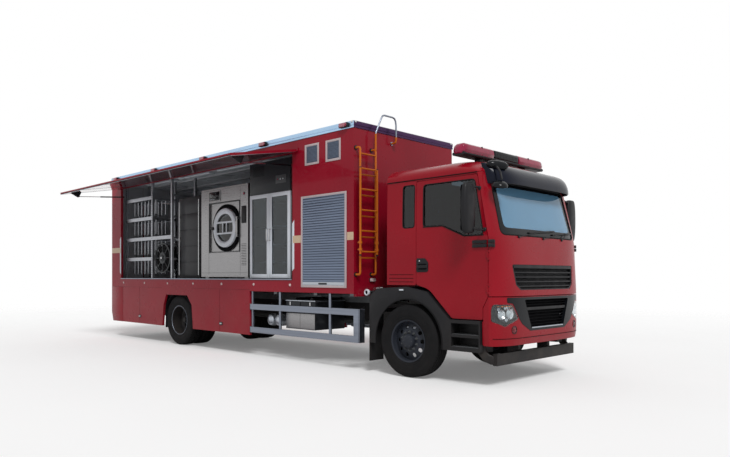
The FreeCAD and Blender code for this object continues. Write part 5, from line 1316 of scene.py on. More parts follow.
def headlamps():
    form = Form(CLEAR_GLASS)
    flat = on_nose(LAMP_OUTLINE, 0.04)
    for side in (-1, 1):
        outline = [(side * s, z) for s, z in flat]
        skin_panel(form.use(CLEAR_GLASS), outline, [], nose_surface(-0.001), 0.004, 0.04)
        skin_panel(form.use(GLOSS_BLACK), outline, [], nose_surface(0.055), 0.003, 0.05)
        form.rings([[nose_place(s / FLAT_HALF, z, inward)[0] for s, z in outline] for inward in (0.004, 0.056)],
                capped=False)
        for y, z, radius in ((0.885, 0.935, 0.072), (1.02, 0.925, 0.064), (0.815, 1, 0.034), (0.955, 1.012, 0.034),
                (0.95, 0.862, 0.028), (1.062, 0.995, 0.024), (0.885, 1.025, 0.022)):
            place, normal = nose_at(side * y, z, 0.034)
            axis = (normal + X * 0.8).normalized()
            form.use(CHROME).loop_lathe([(-0.02, radius * 0.55), (0.012, radius), (0.014, radius * 0.97),
                    (-0.014, radius * 0.5)], place, axis, 32)
            form.use(SILVER_BULB).lathe([(-0.014, 0), (-0.014, radius * 0.62), (-0.004, radius * 0.56),
                    (0.004, radius * 0.3), (0.006, 0)], place, axis, 28)
            form.use(STEEL).disc(-0.022, -0.019, radius * 0.58, radius * 0.58, place, axis, 24)
        for k in range(5):
            y, z = 0.845 + 0.055 * k, 1.032
            place, normal = nose_at(side * y, z, 0.02)
            form.use(AMBER_LENS).block(place - Vector((0.008, 0.02, 0.008)), place + Vector((0.008, 0.02, 0.008)),
                    0.004)
    piece = form.build("headlamp_units")
    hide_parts("headlamps")


BAR_STEPS = 36


def nose_bar(form, y_half, z, high, inward, deep):
    """A slat that follows the nose between two sideways places."""
    path = [nose_at(-y_half + 2 * y_half * k / BAR_STEPS, z, inward)[0] for k in range(BAR_STEPS + 1)]
    form.sweep(path, oblong(deep / 2, high / 2, min(high, deep) * 0.3, 2))


def grille():
    form = Form(JOINT_AND_SHADE_BLACK)
    # Near-black sheets behind the grille and the intake, as painted shade inside them.
    skin_panel(form, on_nose(GRILLE_HOLE, 0.06), [], nose_surface(0.04), 0.004, 0.06)
    skin_panel(form, on_nose(INTAKE, 0.06), [], nose_surface(0.075), 0.004, 0.06)
    form.use(BLACK_PLASTIC)
    inner = [(y * 0.965, 1.4 + (z - 1.4) * 0.9) for y, z in GRILLE_HOLE]
    skin_panel(form, on_nose(GRILLE_HOLE, 0.05), [on_nose(inner, 0.05)], nose_surface(0.004), 0.034, 0.05)
    for z, half in ((1.285, 0.735), (1.345, 0.755), (1.405, 0.77), (1.465, 0.785)):
        nose_bar(form, half, z, 0.018, 0.02, 0.02)
    nose_bar(form, 0.795, 1.535, 0.036, 0.006, 0.014)
    form.use(JOINT_AND_SHADE_BLACK)
    for z in (0.78, 0.82, 0.86, 0.9, 0.94, 1.04, 1.075):
        nose_bar(form, 0.43 + (z - 0.735) * 0.42, z, 0.01, 0.034, 0.02)
    form.use(BLACK_PLASTIC)
    nose_bar(form, 0.535, 0.99, 0.04, 0.024, 0.026)
    form.use(ALUMINIUM)
    nose_bar(form, 0.43, 0.742, 0.016, -0.001, 0.006)
    piece = form.build("grille_bars")
    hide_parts("grille")

    mesh_bar = Form(GRILLE_MESH)
    for k in range(-34, 35):
        y = k * 0.0215
        mesh_bar.sweep([nose_at(y + 0.012 * (j % 2), 1.255 + 0.0145 * j, 0.032)[0] for j in range(19)],
                oblong(0.0018, 0.0018))
    mesh_bar.build("grille_mesh")


def visor():
    """The dark sun visor, curved round the front on its brackets."""
    form, half, steps, rings = Form(SMOKE_BLACK), 1.025, 64, []
    for k in range(steps + 1):
        angle = -pi / 2 + pi * k / steps
        share = sin(angle)
        y = half * copysign(abs(share) ** 0.55, share)
        bow = max(0, 1 - abs(y / half) ** 6) ** 0.5
        tip_x = 1.13 + 0.262 * bow
        base_x = 1.085 + 0.062 * bow
        outer = [Vector((base_x + (tip_x - base_x) * (1 - (1 - t) ** 1.9), y, 2.88 - 0.27 * t ** 1.5))
                for t in (j / 8 for j in range(9))]
        rings.append(outer + [p + Vector((-0.012, 0, -0.01)) for p in outer[::-1]])
    form.rings(rings)
    piece = form.build("visor_blade")
    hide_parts("visor")
    studs = Form(BLACK_PLASTIC)
    for y in (-0.9, -0.32, 0.32, 0.9):
        studs.block((1.1, y - 0.02, 2.7), (1.26, y + 0.02, 2.73), 0.005)
    studs.build("visor_brackets")


def light_bar():
    form = Form(BLACK_PLASTIC)
    base = rounded([(-0.086, -0.021), (0.086, -0.021), (0.098, 0), (0.086, 0.021), (-0.086, 0.021), (-0.098, 0)],
            0.008, 3)
    form.sweep([(0.75, -1.05, 3.04), (0.75, 1.05, 3.04)], base)
    for side in (-1, 1):
        foot = side * 0.57
        form.block((0.705, foot - 0.035, 2.975), (0.795, foot + 0.035, 3.022), 0.01, 3)
        end = rounded([(-0.088, -0.028), (0.088, -0.028), (0.108, 0.03), (0.092, 0.098), (0.045, 0.1235),
                (-0.045, 0.1235), (-0.092, 0.098), (-0.108, 0.03)], 0.03, 5)
        form.use(RED_LENS)
        rings = []
        for y in (0.335, 0.345, 0.5, 0.7, 0.88, 0.985, 1.02, 1.045, 1.063, 1.073):
            out = y - 0.985
            shrink = 0.94 if y < 0.34 else 1 if out <= 0 else sqrt(max(0.1, 1 - (out / 0.092) ** 2))
            rings.append([(0.75 + a * (0.86 + 0.14 * shrink) * shrink, side * y, 3.06 + b * shrink) for a, b in end])
        form.rings(rings)
        form.use(BLACK_PLASTIC)
        form.block((0.652, side * 0.62 - 0.003, 3.04), (0.848, side * 0.62 + 0.003, 3.172), 0.0025)
    form.use(GLOSS_BLACK)
    form.block((0.65, -0.332, 3.05), (0.85, 0.332, 3.168), 0.03, 5)
    form.use(BLACK_PLASTIC)
    for k in range(15):
        y = -0.28 + 0.04 * k
        form.block((0.8485, y - 0.012, 3.08), (0.852, y + 0.012, 3.13), 0.001, 1)
    piece = form.build("light_bar_unit")
    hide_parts("light_bar")


def dashboard():
    """The dashboard's moulded body under the windscreen, following the nose in front."""
    form = Form(GREY_PLASTIC)
    rings = []
    for k in range(25):
        y = -1.06 + 2.12 * k / 24
        section = [(nose_at(y, z, 0.075)[0].x, z) for z in (1.43, 1.7, 1.905)]
        section += [(section[2][0] - 0.06, 1.955), (0.96, 2), (0.8, 2.03), (0.745, 1.99), (0.735, 1.85), (0.82, 1.64),
                (0.9, 1.43)]
        rings.append([(min(x, section[2][0] + 0.05), y, z) for x, z in section])
    form.rings(rings)
    form.use(JOINT_AND_SHADE_BLACK)
    for y in (-0.62, -0.3, 0.14, 0.46, 0.78):
        form.block((0.7355, y - 0.09, 1.872), (0.744, y + 0.09, 1.935), 0.006)
    piece = form.build("dashboard_body")
    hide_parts("dashboard")


def wipers():
    form = Form(BLACK_PLASTIC)
    for y, tip in ((-0.62, 0.2), (0.02, 0.84), (0.55, 1.2)):
        base = nose_at(y, 1.925, -0.012)[0]
        end_y = min(tip, 0.9) - 0.18
        end = nose_at(end_y, 2.02, -0.022)[0]
        form.tube([base, base.lerp(end, 0.3) + X * 0.006, end], 0.006, 8)
        form.lathe([(-0.012, 0), (-0.012, 0.02), (0.006, 0.016), (0.008, 0)], base, (X + Z * 0.2), 16)
        blade = []
        for k in range(9):
            by = max(-0.93, min(0.93, end_y - 0.36 + 0.09 * k))
            blade.append(nose_place(nose_share(by, 1.99 + 0.004 * k), 1.99 + 0.006 * k, -0.007)[0])
        form.sweep(blade, [(-0.004, -0.01), (0.004, -0.01), (0.002, 0.012), (-0.002, 0.012)])
    form.build("wipers")

    mirror = Form(GLOSS_BLACK)
    dome = [(-0.145, 0), (-0.14, 0.022), (-0.12, 0.04), (-0.08, 0.054), (0, 0.06), (0.08, 0.054), (0.12, 0.04),
            (0.14, 0.022), (0.145, 0)]
    mirror.lathe(dome, (1.245, -0.905, 2.84), Vector((0.55, 0.8, -0.1)), 32)
    mirror.use(BLACK_PLASTIC).tube([(1.2, -0.93, 2.82), (1.3, -1, 2.8), (1.375, -1.045, 2.72), (1.395, -1.045, 2.62)],
            0.013, 12)
    bowl = [(-0.052, 0), (-0.048, 0.05), (-0.034, 0.08), (-0.01, 0.1), (0.008, 0.104), (0.014, 0.098), (0.01, 0)]
    seat = (1.358, -1.035, 2.56), (0.35, -0.25, 0.9)
    mirror.use(GLOSS_BLACK).lathe([(-a, r) for a, r in bowl[::-1]], *seat, 40)
    mirror.use(CHROME).lathe([(-0.012, 0), (-0.01, 0.092), (-0.0145, 0.092), (-0.022, 0.05), (-0.024, 0)], *seat, 40)
    mirror.build("front_mirror")


# Inside the cab

def cushion(low, high, crown, name):
    """A stuffed block with a crown, swollen under a little pressure inside its cover."""
    mesh, low, high = bmesh.new(), Vector(low), Vector(high)
    bmesh.ops.create_cube(mesh, size=1)
    bmesh.ops.scale(mesh, vec=(high - low) - Vector((crown, crown, crown)) * 2, verts=mesh.verts)
    bmesh.ops.translate(mesh, vec=(low + high) / 2 + ORIGIN, verts=mesh.verts)
    bmesh.ops.subdivide_edges(mesh, edges=mesh.edges[:], cuts=9, use_grid_fill=True)
    data = bpy.data.meshes.new(name)
    mesh.to_mesh(data)
    mesh.free()
    piece = place_in_scene(name, data)
    rest = [v.co.copy() for v in data.vertices]
    cloth = piece.modifiers.new("swell", "CLOTH")
    cloth.settings.use_pressure = True
    cloth.settings.uniform_pressure_force = 4
    cloth.settings.effector_weights.gravity = 0
    cloth.settings.quality = 4
    for step in range(1, 14):
        bpy.context.scene.frame_set(step)
    swollen = bpy.data.meshes.new_from_object(piece.evaluated_get(bpy.context.evaluated_depsgraph_get()))
    bpy.context.scene.frame_set(1)
    for vertex, start in zip(swollen.vertices, rest):
        shift = vertex.co - start
        if shift.length > crown * 0.95:
            vertex.co = start + shift.normalized() * crown * 0.95
    piece.modifiers.remove(cloth)
    piece.data = swollen
    return piece


def seats():
    floor = 1.35
    covers = []
    for side in (-1, 1):
        y0, y1 = sorted((side * 0.85, side * 0.31))
        parts = (((0.09, y0, floor + 0.25), (0.62, y1, floor + 0.39), 0.022),
                ((-0.02, y0 + 0.01, floor + 0.39), (0.11, y1 - 0.01, floor + 1), 0.02),
                ((0, side * 0.58 - 0.13, floor + 1.03), (0.09, side * 0.58 + 0.13, floor + 1.21), 0.018))
        for number, (low, high, crown) in enumerate(parts):
            covers.append(cushion(low, high, crown, "seat_part_%d_%d" % (side, number)))
    mesh = bmesh.new()
    for cover in covers:
        mesh.from_mesh(cover.data)
        bpy.data.objects.remove(cover)
    data = bpy.data.meshes.new("seat_cushions")
    for face in mesh.faces:
        face.smooth = True
    mesh.to_mesh(data)
    mesh.free()
    data.materials.append(SEAT_CLOTH)
    soft = keep("seat_cushions", data, "truck")
    smooth = soft.modifiers.new("round", "SUBSURF")
    smooth.levels = smooth.render_levels = 1
    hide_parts("seats")
    base = Form(BLACK_PLASTIC)
    for side in (-1, 1):
        base.use(BLACK_PLASTIC).block((0.13, side * 0.83, floor), (0.56, side * 0.33, floor + 0.248), 0.02, 3)
        for y in (side * 0.52, side * 0.64):
            base.use(STEEL).tube([(0.045, y, floor + 0.97), (0.045, y, floor + 1.06)], 0.007, 8)
    base.build("seat_bases")


def cab():
    cab_front()
    windscreen()
    cab_sides()
    cab_roof()
    for side in (-1, 1):
        cab_door(side)
    bumper()
    headlamps()
    grille()
    visor()
    light_bar()
    dashboard()
    wipers()
    seats()


# Wheels

WHEEL_RADIUS, TREAD_LOW, TYRE_HALF = 0.51, 0.496, 0.146
REAR_AXLE, WHEEL_MIDDLE = -6, 1.19 - TYRE_HALF
NUT_CIRCLE, NUT_SIZE = 0.128, 0.016


def tyre_section(ribbed):
    """The closed section of a tyre: beads, flexing walls with their raised bands, and the tread."""
    wall = [(0.122, 0.2868), (0.127, 0.302), (0.137, 0.316), (0.1415, 0.334), (0.1405, 0.34), (0.1445, 0.346),
            (0.146, 0.385), (0.1458, 0.412), (0.1435, 0.436), (0.1445, 0.441), (0.1425, 0.447), (0.136, 0.474),
            (0.1295, 0.487), (0.118, 0.4955)]
    tread = [(0.1, 0.4965)]
    if ribbed:
        tread = [(0.112, 0.504), (0.083, 0.5075), (0.0795, 0.495), (0.0715, 0.495), (0.068, 0.509), (0.034, 0.51),
                (0.0305, 0.496), (0.0225, 0.496), (0.019, 0.51)]
    inner = [(0.108, 0.2868), (0.104, 0.302), (0.128, 0.345), (0.134, 0.4), (0.12, 0.465), (0.09, 0.478)]
    outer_half = wall + tread
    return outer_half + [(-a, r) for a, r in outer_half[::-1]] + [(-a, r) for a, r in inner] + inner[::-1]


def tread_lug(form, centre, across, wide, long, slant, top):
    """One block of a driven tyre's tread, tapered towards its top."""
    middle_x, middle_y, middle_z = centre
    corners = []
    for height, shrink in ((TREAD_LOW - 0.004, 1), (top, 0.86)):
        for sx, sy in ((-1, -1), (1, -1), (1, 1), (-1, 1)):
            y = across + sy * wide / 2 * shrink
            x = sx * long / 2 * shrink + slant * (y - across)
            z = sqrt(max(0, height ** 2 - x ** 2))
            corners.append((middle_x + x, middle_y + y, middle_z + z))
    form.add(corners, [[0, 3, 2, 1], [4, 5, 6, 7], [0, 1, 5, 4], [1, 2, 6, 5], [2, 3, 7, 6], [3, 0, 4, 7]])


def nuts(form, centre, side, face, count):
    """Wheel nuts on their flange, with the stud ends."""
    for k in range(count):
        a = 2 * pi * (k + 0.5) / count
        spot = Vector((centre[0] + NUT_CIRCLE * cos(a), face, centre[2] + NUT_CIRCLE * sin(a)))
        form.use(GREY_PLASTIC).disc(-0.001, 0.003, NUT_SIZE * 1.35, NUT_SIZE * 1.3, spot, Y * side, 20)
        form.lathe([(0.002, 0), (0.002, NUT_SIZE), (0.018, NUT_SIZE), (0.021, NUT_SIZE * 0.75), (0.021, 0)], spot,
                Y * side, 6)
        form.lathe([(0.019, 0), (0.019, NUT_SIZE * 0.5), (0.033, NUT_SIZE * 0.5), (0.035, NUT_SIZE * 0.35), (0.035, 0)],
                spot, Y * side, 14)


def front_wheel(side):
    tag = hand(side)
    body = "wheel_front_" + tag
    middle = Vector((0, side * WHEEL_MIDDLE, WHEEL_RADIUS))
    tyre = Form(TYRE)
    tyre.loop_lathe(tyre_section(True), middle, Y, 120)
    base = tyre.build("tyre_carcass_front_" + tag, body)
    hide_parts("tyre_front_" + tag)
    # Near-black slits in the tread, as painted shade in its grooves.
    sipe = Form(JOINT_AND_SHADE_BLACK)
    for across in (-0.051, 0, 0.051, -0.1, 0.1):
        sipe.block((middle.x - 0.0012, middle.y + across - 0.012, middle.z + 0.5),
                (middle.x + 0.0012, middle.y + across + 0.012, middle.z + (0.5097 if abs(across) < 0.09 else 0.5062)),
                0)
    ring(sipe, "tyre_sipes_front_" + tag, body, 90, middle)
    hub = Form(RIM_PAINT)
    nuts(hub, middle, side, middle.y + side * 0.084, 10)
    hub.use(RIM_PAINT).lathe([(0, 0), (0, 0.088), (0.006, 0.085), (0.014, 0.062), (0.0155, 0.03), (0.0155, 0)],
            middle + Y * side * 0.1345, Y * side, 40)
    for a in turns(6):
        hub.use(GREY_PLASTIC).disc(0, 0.004, 0.006, 0.006, middle + around(a, 0.074, side * 0.142), Y * side, 6)
    hub.use(BLACK_PLASTIC).tube([middle + Vector((0.16, side * 0.078, 0.16)),
            middle + Vector((0.185, side * 0.1, 0.185))], 0.005, 8)
    hub.build("hub_front_" + tag, body)


def rear_wheels(side):
    tag = hand(side)
    body = "wheels_rear_" + tag
    carcass = Form(TYRE)
    outer = Vector((REAR_AXLE, side * WHEEL_MIDDLE, WHEEL_RADIUS))
    inner = outer - Y * side * (0.292 + 0.046)
    for middle in (outer, inner):
        carcass.loop_lathe(tyre_section(False), middle, Y, 96)
    base = carcass.build("tyre_carcass_rear_" + tag, body)
    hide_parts("tyres_rear_" + tag)
    for number, middle in enumerate((outer, inner)):
        lug = Form(TYRE)
        for across, wide, long, slant, top in ((-0.098, 0.04, 0.037, 0.25, 0.5055),
                (-0.049, 0.038, 0.034, -0.3, 0.509), (0, 0.038, 0.034, 0.3, 0.51), (0.049, 0.038, 0.034, -0.3, 0.509),
                (0.098, 0.04, 0.037, 0.25, 0.5055)):
            tread_lug(lug, middle, across, wide, long, slant, top)
        ring(lug, "tread_blocks_%s_%d" % (tag, number), body, 72, middle)
    centre = Vector((REAR_AXLE, side * 0.875, WHEEL_RADIUS))
    hub = Form(RIM_PAINT)
    nuts(hub, centre, side, centre.y + side * 0.012, 10)
    hub.use(RIM_PAINT).lathe([(0, 0), (0, 0.092), (0.012, 0.09), (0.02, 0.075), (0.02, 0.045), (0.03, 0.04),
            (0.031, 0)], centre + Y * side * 0.108, Y * side, 40)
    for a in turns(8):
        hub.use(GREY_PLASTIC).disc(0, 0.006, 0.008, 0.008, centre + around(a, 0.083, side * 0.1235), Y * side, 6)
    hub.use(GUARD_METAL).loop_lathe([(0.1205, 0.2965), (0.1255, 0.299), (0.1315, 0.2985), (0.1325, 0.293),
            (0.1275, 0.288), (0.1205, 0.286)], outer, Y * side, 72)
    hub.build("hub_rear_" + tag, body)


# Box equipment

WASHER_FACE = -1.05
DRUM = Vector((-4.52, WASHER_FACE, 2.34))


def washer():
    face, x0, x1 = WASHER_FACE, -5.37, -3.83
    form = Form(STAINLESS)
    form.use(JOINT_AND_SHADE_BLACK)
    for x in (x0 + 0.268, x1 - 0.238):
        form.block((x - 0.002, face - 0.001, 1.44), (x + 0.002, face + 0.002, 3.1), 0)
    for low, high in ((1.478, 1.482), (3.095, 3.098)):
        form.block((x0 + 0.02, face - 0.001, low), (x1 - 0.02, face + 0.002, high), 0)
    form.use(GREY_PLASTIC)
    recess = rectangle((x0 + 0.285, 1.885), (x1 - 0.255, 2.835), 0.02)
    form.sweep([(x, face - 0.003, z) for x, z in divided(recess, 0.2)], oblong(0.01, 0.006, 0.004, 2), closed=True)
    form.use(RUBBER).loop_lathe([(0.004, 0.338), (-0.018, 0.345), (-0.018, 0.398), (-0.008, 0.404), (0.004, 0.404)],
            DRUM + Y * 0.026, RIGHT, 72)
    form.use(JOINT_AND_SHADE_BLACK).loop_lathe([(0, 0.3), (0.0025, 0.3), (0.0025, 0.452), (0, 0.452)], DRUM, RIGHT, 72)
    panel = Form(GLOSS_BLACK)
    top = face - 0.014
    panel.plate(rectangle((x0 + 0.295, 2.89), (x0 + 0.65, 3.06), 0.012), "y", top - 0.003, top + 0.001, 0.001)
    panel.use(SCREEN_GLASS).plate(rectangle((x0 + 0.32, 2.945), (x0 + 0.475, 3.04), 0.006), "y", top - 0.0045,
            top - 0.002, 0.0006)
    for k in range(4):
        spot = Vector((x0 + 0.335 + 0.042 * k, top - 0.003, 2.915))
        panel.use(DOOR_WHITE).disc(-0.001, 0.004, 0.011, 0.01, spot, RIGHT, 18)
    for z in (2.935, 3.015):
        spot = Vector((x0 + 0.565, top - 0.003, z))
        panel.use(BLACK_PLASTIC).lathe([(-0.001, 0), (-0.001, 0.03), (0.006, 0.029), (0.008, 0.021), (0.024, 0.018),
                (0.024, 0)], spot, RIGHT, 28)
        panel.use(DOOR_WHITE).block(spot + Vector((-0.0015, -0.0255, 0.004)), spot + Vector((0.0015, -0.0235, 0.018)),
                0)
    panel.use(RED_LENS).lathe([(0, 0), (0, 0.02), (0.012, 0.019), (0.016, 0.012), (0.016, 0)],
            (x1 - 0.12, face, 2.95), RIGHT, 24)
    panel.use(GREY_PLASTIC).disc(-0.001, 0.004, 0.032, 0.03, (x1 - 0.12, face + 0.001, 2.95), RIGHT, 24)
    panel.use(BLACK_PLASTIC).plate(rectangle((x1 - 0.19, 2.4), (x1 - 0.06, 2.72), 0.01), "y", face - 0.012,
            face + 0.001, 0.003)
    panel.build("washer_controls")
    for z in (1.42, 3.11):
        for x in (x0 + 0.03, x1 - 0.03):
            form.use(STEEL).disc(-0.001, 0.004, 0.008, 0.006, (x, face, z), RIGHT, 14)
    form.build("washer_face_details")
    slot = Form(JOINT_AND_SHADE_BLACK)
    slot.block((x1 - 0.2, face - 0.0015, 1.62), (x1 - 0.05, face + 0.001, 1.628), 0.001)
    row(slot, "washer_side_slots", "truck", 14, (0, 0, 0.03))
    lip = Form(STEEL)
    lip.loop_lathe([(0, 0.33), (0.6, 0.33), (0.6, 0.322), (0.004, 0.322)], DRUM + Y * 0.022, Y, 64)
    lip.build("washer_drum_lining")


def washer_door():
    centre, out = DRUM, RIGHT
    form = Form(DOOR_WHITE)
    form.loop_lathe([(-0.01, 0.262), (-0.01, 0.368), (-0.004, 0.374), (0.028, 0.375), (0.044, 0.37), (0.054, 0.356),
            (0.058, 0.332), (0.057, 0.3), (0.048, 0.278), (0.03, 0.264)], centre, out, 96)
    form.use(GREY_PLASTIC).loop_lathe([(0.03, 0.2655), (0.036, 0.266), (0.03, 0.25), (0.012, 0.246), (0.002, 0.25),
            (0.002, 0.2655)], centre, out, 96)
    form.use(SHADE_GLASS).lathe([(0.016, 0), (0.018, 0.18), (0.014, 0.248), (0.008, 0.248), (0.004, 0.24),
            (-0.05, 0.222), (-0.085, 0.17), (-0.1, 0.1), (-0.104, 0)], centre, out, 72)
    form.use(DOOR_WHITE)
    for z in (-0.105, 0.105):
        half = sqrt(0.275 ** 2 - z ** 2)
        form.block(centre + Vector((-half, -0.05, z - 0.018)), centre + Vector((half, -0.022, z + 0.018)), 0.008, 3)
    for x in (-0.062, 0.062):
        form.block(centre + Vector((x - 0.01, -0.044, -0.1)), centre + Vector((x + 0.01, -0.026, 0.1)), 0.006, 3)
    form.use(STAINLESS)
    form.lathe([(-0.15, 0.0052), (-0.15, 0.014), (0.15, 0.014), (0.15, 0.0052)], (-4.123, -1.086, 2.34), Z, 24)
    form.block((-4.205, -1.1, 2.22), (-4.13, -1.076, 2.46), 0.006, 3)
    form.use(BLACK_PLASTIC)
    form.block((-4.955, -1.13, 2.31), (-4.835, -1.1, 2.37), 0.012, 4)
    form.use(STEEL).disc(0, 0.006, 0.017, 0.015, (-4.86, -1.1, 2.34), out, 20)
    piece = form.build("washer_door_leaf", "washer_door")
    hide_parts("washer_door")


def cabinet_doors():
    for tag, x0, x1, grip, pivot in (("rear", -3.718, -3.163, -3.195, -3.706),
            ("front", -3.157, -2.602, -3.125, -2.614)):
        body = "cabinet_door_" + tag
        y0, y1 = -1.095, -1.057
        z0, z1 = 1.382, 2.87
        form = Form(DOOR_WHITE)
        bar = 0.07
        for low, high in (((x0, y0, z0), (x0 + bar, y1, z1)), ((x1 - bar, y0, z0), (x1, y1, z1)),
                ((x0 + bar - 0.004, y0, z0), (x1 - bar + 0.004, y1, z0 + bar)),
                ((x0 + bar - 0.004, y0, z1 - bar), (x1 - bar + 0.004, y1, z1))):
            form.block(low, high, 0.005, 3)
        form.use(RUBBER)
        loop = divided(rectangle((x0 + bar, z0 + bar), (x1 - bar, z1 - bar), 0.01), 0.3)
        form.tube([(x, y0 + 0.01, z) for x, z in loop], 0.005, 6, True)
        form.use(SCREEN_GLASS).block((x0 + bar - 0.006, y0 + 0.014, z0 + bar - 0.006),
                (x1 - bar + 0.006, y0 + 0.02, z1 - bar + 0.006), 0)
        form.use(STEEL)
        form.tube([(grip, y0 + 0.002, 2.24), (grip, y0 - 0.03, 2.236), (grip, y0 - 0.034, 2.21),
                (grip, y0 - 0.034, 2.07), (grip, y0 - 0.03, 2.044), (grip, y0 + 0.002, 2.04)], 0.009, 12)
        for low, high in ((2.87, 2.893), (1.3585, 1.382)):
            form.disc(0, high - low, 0.005, 0.005, (pivot, -1.083, low), Z)
        piece = form.build("glazed_leaf_" + tag, body)
        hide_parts("cabinet_door_" + tag)

    inner = Form(RACK_METAL)
    for z in (1.66, 1.98, 2.3):
        for y in [-0.96 + 0.06 * k for k in range(11)]:
            inner.tube([(-3.675, y, z), (-2.645, y, z)], 0.004, 6)
    inner.build("cabinet_shelves")
    trim = Form(DARK_GREY)
    trim.block((-3.715, -1.093, 2.882), (-2.605, -1.088, 3.43))
    trim.use(JOINT_AND_SHADE_BLACK)
    for k in range(9):
        trim.block((-3.62, -1.0945, 3.2 + 0.02 * k), (-3.3, -1.0925, 3.206 + 0.02 * k), 0)
    trim.use(GREY_PLASTIC).block((-2.98, -1.099, 3.02), (-2.7, -1.092, 3.16), 0.004)
    for k in range(3):
        trim.use(RED_LENS if k == 0 else DOOR_WHITE).disc(0, 0.006, 0.012, 0.01, (-2.92 + 0.07 * k, -1.098, 3.09),
                RIGHT)
    trim.build("cabinet_head_panel")


def rack_details():
    """Foot plates, slotted posts and hooks of the racks."""
    feet = Form(RACK_METAL)
    for x in (-8.44, -7.245, -6.42):
        for y in (-1.13, -0.56):
            feet.block((x - 0.01, y - 0.01, 1.352), (x + 0.06, y + 0.06, 1.362), 0.003)
    feet.build("rack_foot_plates")
    for number, x in enumerate((-8.415, -7.22)):
        hole = Form(JOINT_AND_SHADE_BLACK)
        hole.block((x - 0.008, -1.1312, 1.44), (x + 0.008, -1.1298, 1.462), 0.0006, 1)
        row(hole, "rack_post_slots_%d" % number, "truck", 42, (0, 0, 0.05))
    hook = Form(STEEL)
    hook.tube([(-8.31, -1.118, 1.835), (-8.31, -1.122, 1.8), (-8.31, -1.1, 1.775), (-8.31, -1.088, 1.8)], 0.005, 8)
    grid(hook, "rack_hooks", "truck", (10, (0.105, 0, 0)), (4, (0, 0, 0.45)))


def hose_reel():
    """The reel with its spoked cheeks and hub, and the flat-wound hose between them."""
    centre = Vector((-6.795, -0.985, 1.81))
    form = Form(RUBBER)
    radius = 0.017
    for layer in range(5):
        for lane in range(6):
            y = -0.085 + 0.034 * lane + (0.008 if layer % 2 else -0.008)
            form.loop_lathe(circle((y, 0.14 + 0.03 * layer), radius, 8), centre, Y, 40)
    form.use(GOLD).tube([centre + Vector((0.2, -0.09, 0.19)), centre + Vector((0.26, -0.09, 0.1))], 0.018)
    form.use(GREY_PLASTIC)
    for side in (-1, 1):
        form.loop_lathe([(0.108, 0.3), (0.13, 0.3), (0.134, 0.306), (0.134, 0.324), (0.128, 0.33), (0.108, 0.326)],
                centre, Y * side, 64)
        form.loop_lathe([(0.112, 0.028), (0.128, 0.028), (0.132, 0.11), (0.128, 0.122), (0.112, 0.122)], centre,
                Y * side)
        form.lathe([(0.128, 0.027), (0.15, 0.06), (0.146, 0.066), (0.128, 0.072)], centre, Y * side, 32)
        for k in range(8):
            a = 2 * pi * (k + 0.5 * (side > 0)) / 8
            rim, hub = [centre + around(a, r, side * 0.12) for r in (0.308, 0.1)]
            form.tube([hub, rim], 0.009, 10)
    form.loop_lathe([(-0.13, 0.116), (0.13, 0.116), (0.13, 0.124), (-0.13, 0.124)], centre, Y)
    piece = form.build("hose_reel_with_hose", "hose_reel")
    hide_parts("hose_reel")
    axle = Form(STEEL)
    axle.tube([centre + Y * -0.16, centre + Y * 0.15], 0.0245, 24)
    axle.build("reel_axle")


def middle_cabinet():
    """The grey cabinet between the racks and the washer, with its drawer joints and upright grips."""
    form = Form(CABINET_GREY)
    form.block((-6.3, -0.985, 1.352), (-5.48, -0.3, 3.06), 0.008, 3)
    drawers, foot = 5, 1.372
    high = (3.045 - foot) / drawers
    for k in range(drawers):
        form.block((-6.288, -1, foot + high * k + 0.003), (-5.492, -0.984, foot + high * (k + 1) - 0.003), 0.003)
    form.use(STEEL)
    for x in (-6.26, -5.52):
        form.tube([(x, -1.02, 1.44), (x, -1.02, 2.98)], 0.009, 12)
        for z in (1.46, 2.21, 2.96):
            form.tube([(x, -1.02, z), (x, -0.995, z)], 0.006, 8)
    piece = form.build("middle_cabinet")
    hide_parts("rear_cabinet")


# Side flap, rear and ladder

def side_flap():
    """The raised flap's glossy lining, its rib frame and the rubber lip, in the flap's own slope."""
    droop = radians(10)
    hinge = Vector((0, -1.27, 3.465))

    def place(x, out, up):
        return x, hinge.y - out * cos(droop) + up * sin(droop), hinge.z - out * sin(droop) + up * cos(droop)

    def slab(form, x0, x1, out0, out1, up0, up1):
        points = [place(x, out, up) for x in (x0, x1) for out in (out0, out1) for up in (up0, up1)]
        form.add(points, [[0, 1, 3, 2], [4, 6, 7, 5], [0, 4, 5, 1], [2, 3, 7, 6], [0, 2, 6, 4], [1, 5, 7, 3]])

    under = -0.014
    form = Form(RED_FLAP)
    slab(form, -8.56, -2.25, 0.06, 1.318, under - 0.0025, under + 0.001)
    form.use(ALUMINIUM)
    for x0, x1 in ((-8.598, -8.562), (-2.248, -2.212)):
        slab(form, x0, x1, 0.03, 1.346, under - 0.005, under + 0.001)
    slab(form, -8.56, -2.25, 1.32, 1.347, under - 0.005, under + 0.001)
    form.use(RUBBER)
    slab(form, -8.59, -2.22, 1.3465, 1.3505, under + 0.002, under + 0.036)
    form.build("flap_lining", "side_flap")
    ribs = Form(GUARD_METAL)
    for x in (-7.55, -6.48, -5.41, -4.34, -3.27):
        slab(ribs, x - 0.018, x + 0.018, 0.065, 1.312, under - 0.0045, under - 0.002)
    ribs.build("flap_ribs", "side_flap")
    hinge_knuckles = Form(ALUMINIUM)
    for x in (-8.4, -7.4, -6.4, -5.4, -4.4, -3.4, -2.4):
        hinge_knuckles.disc(-0.05, 0.05, 0.0105, 0.0105, (x, hinge.y, hinge.z), X)
    hinge_knuckles.build("flap_hinge_knuckles", "side_flap")


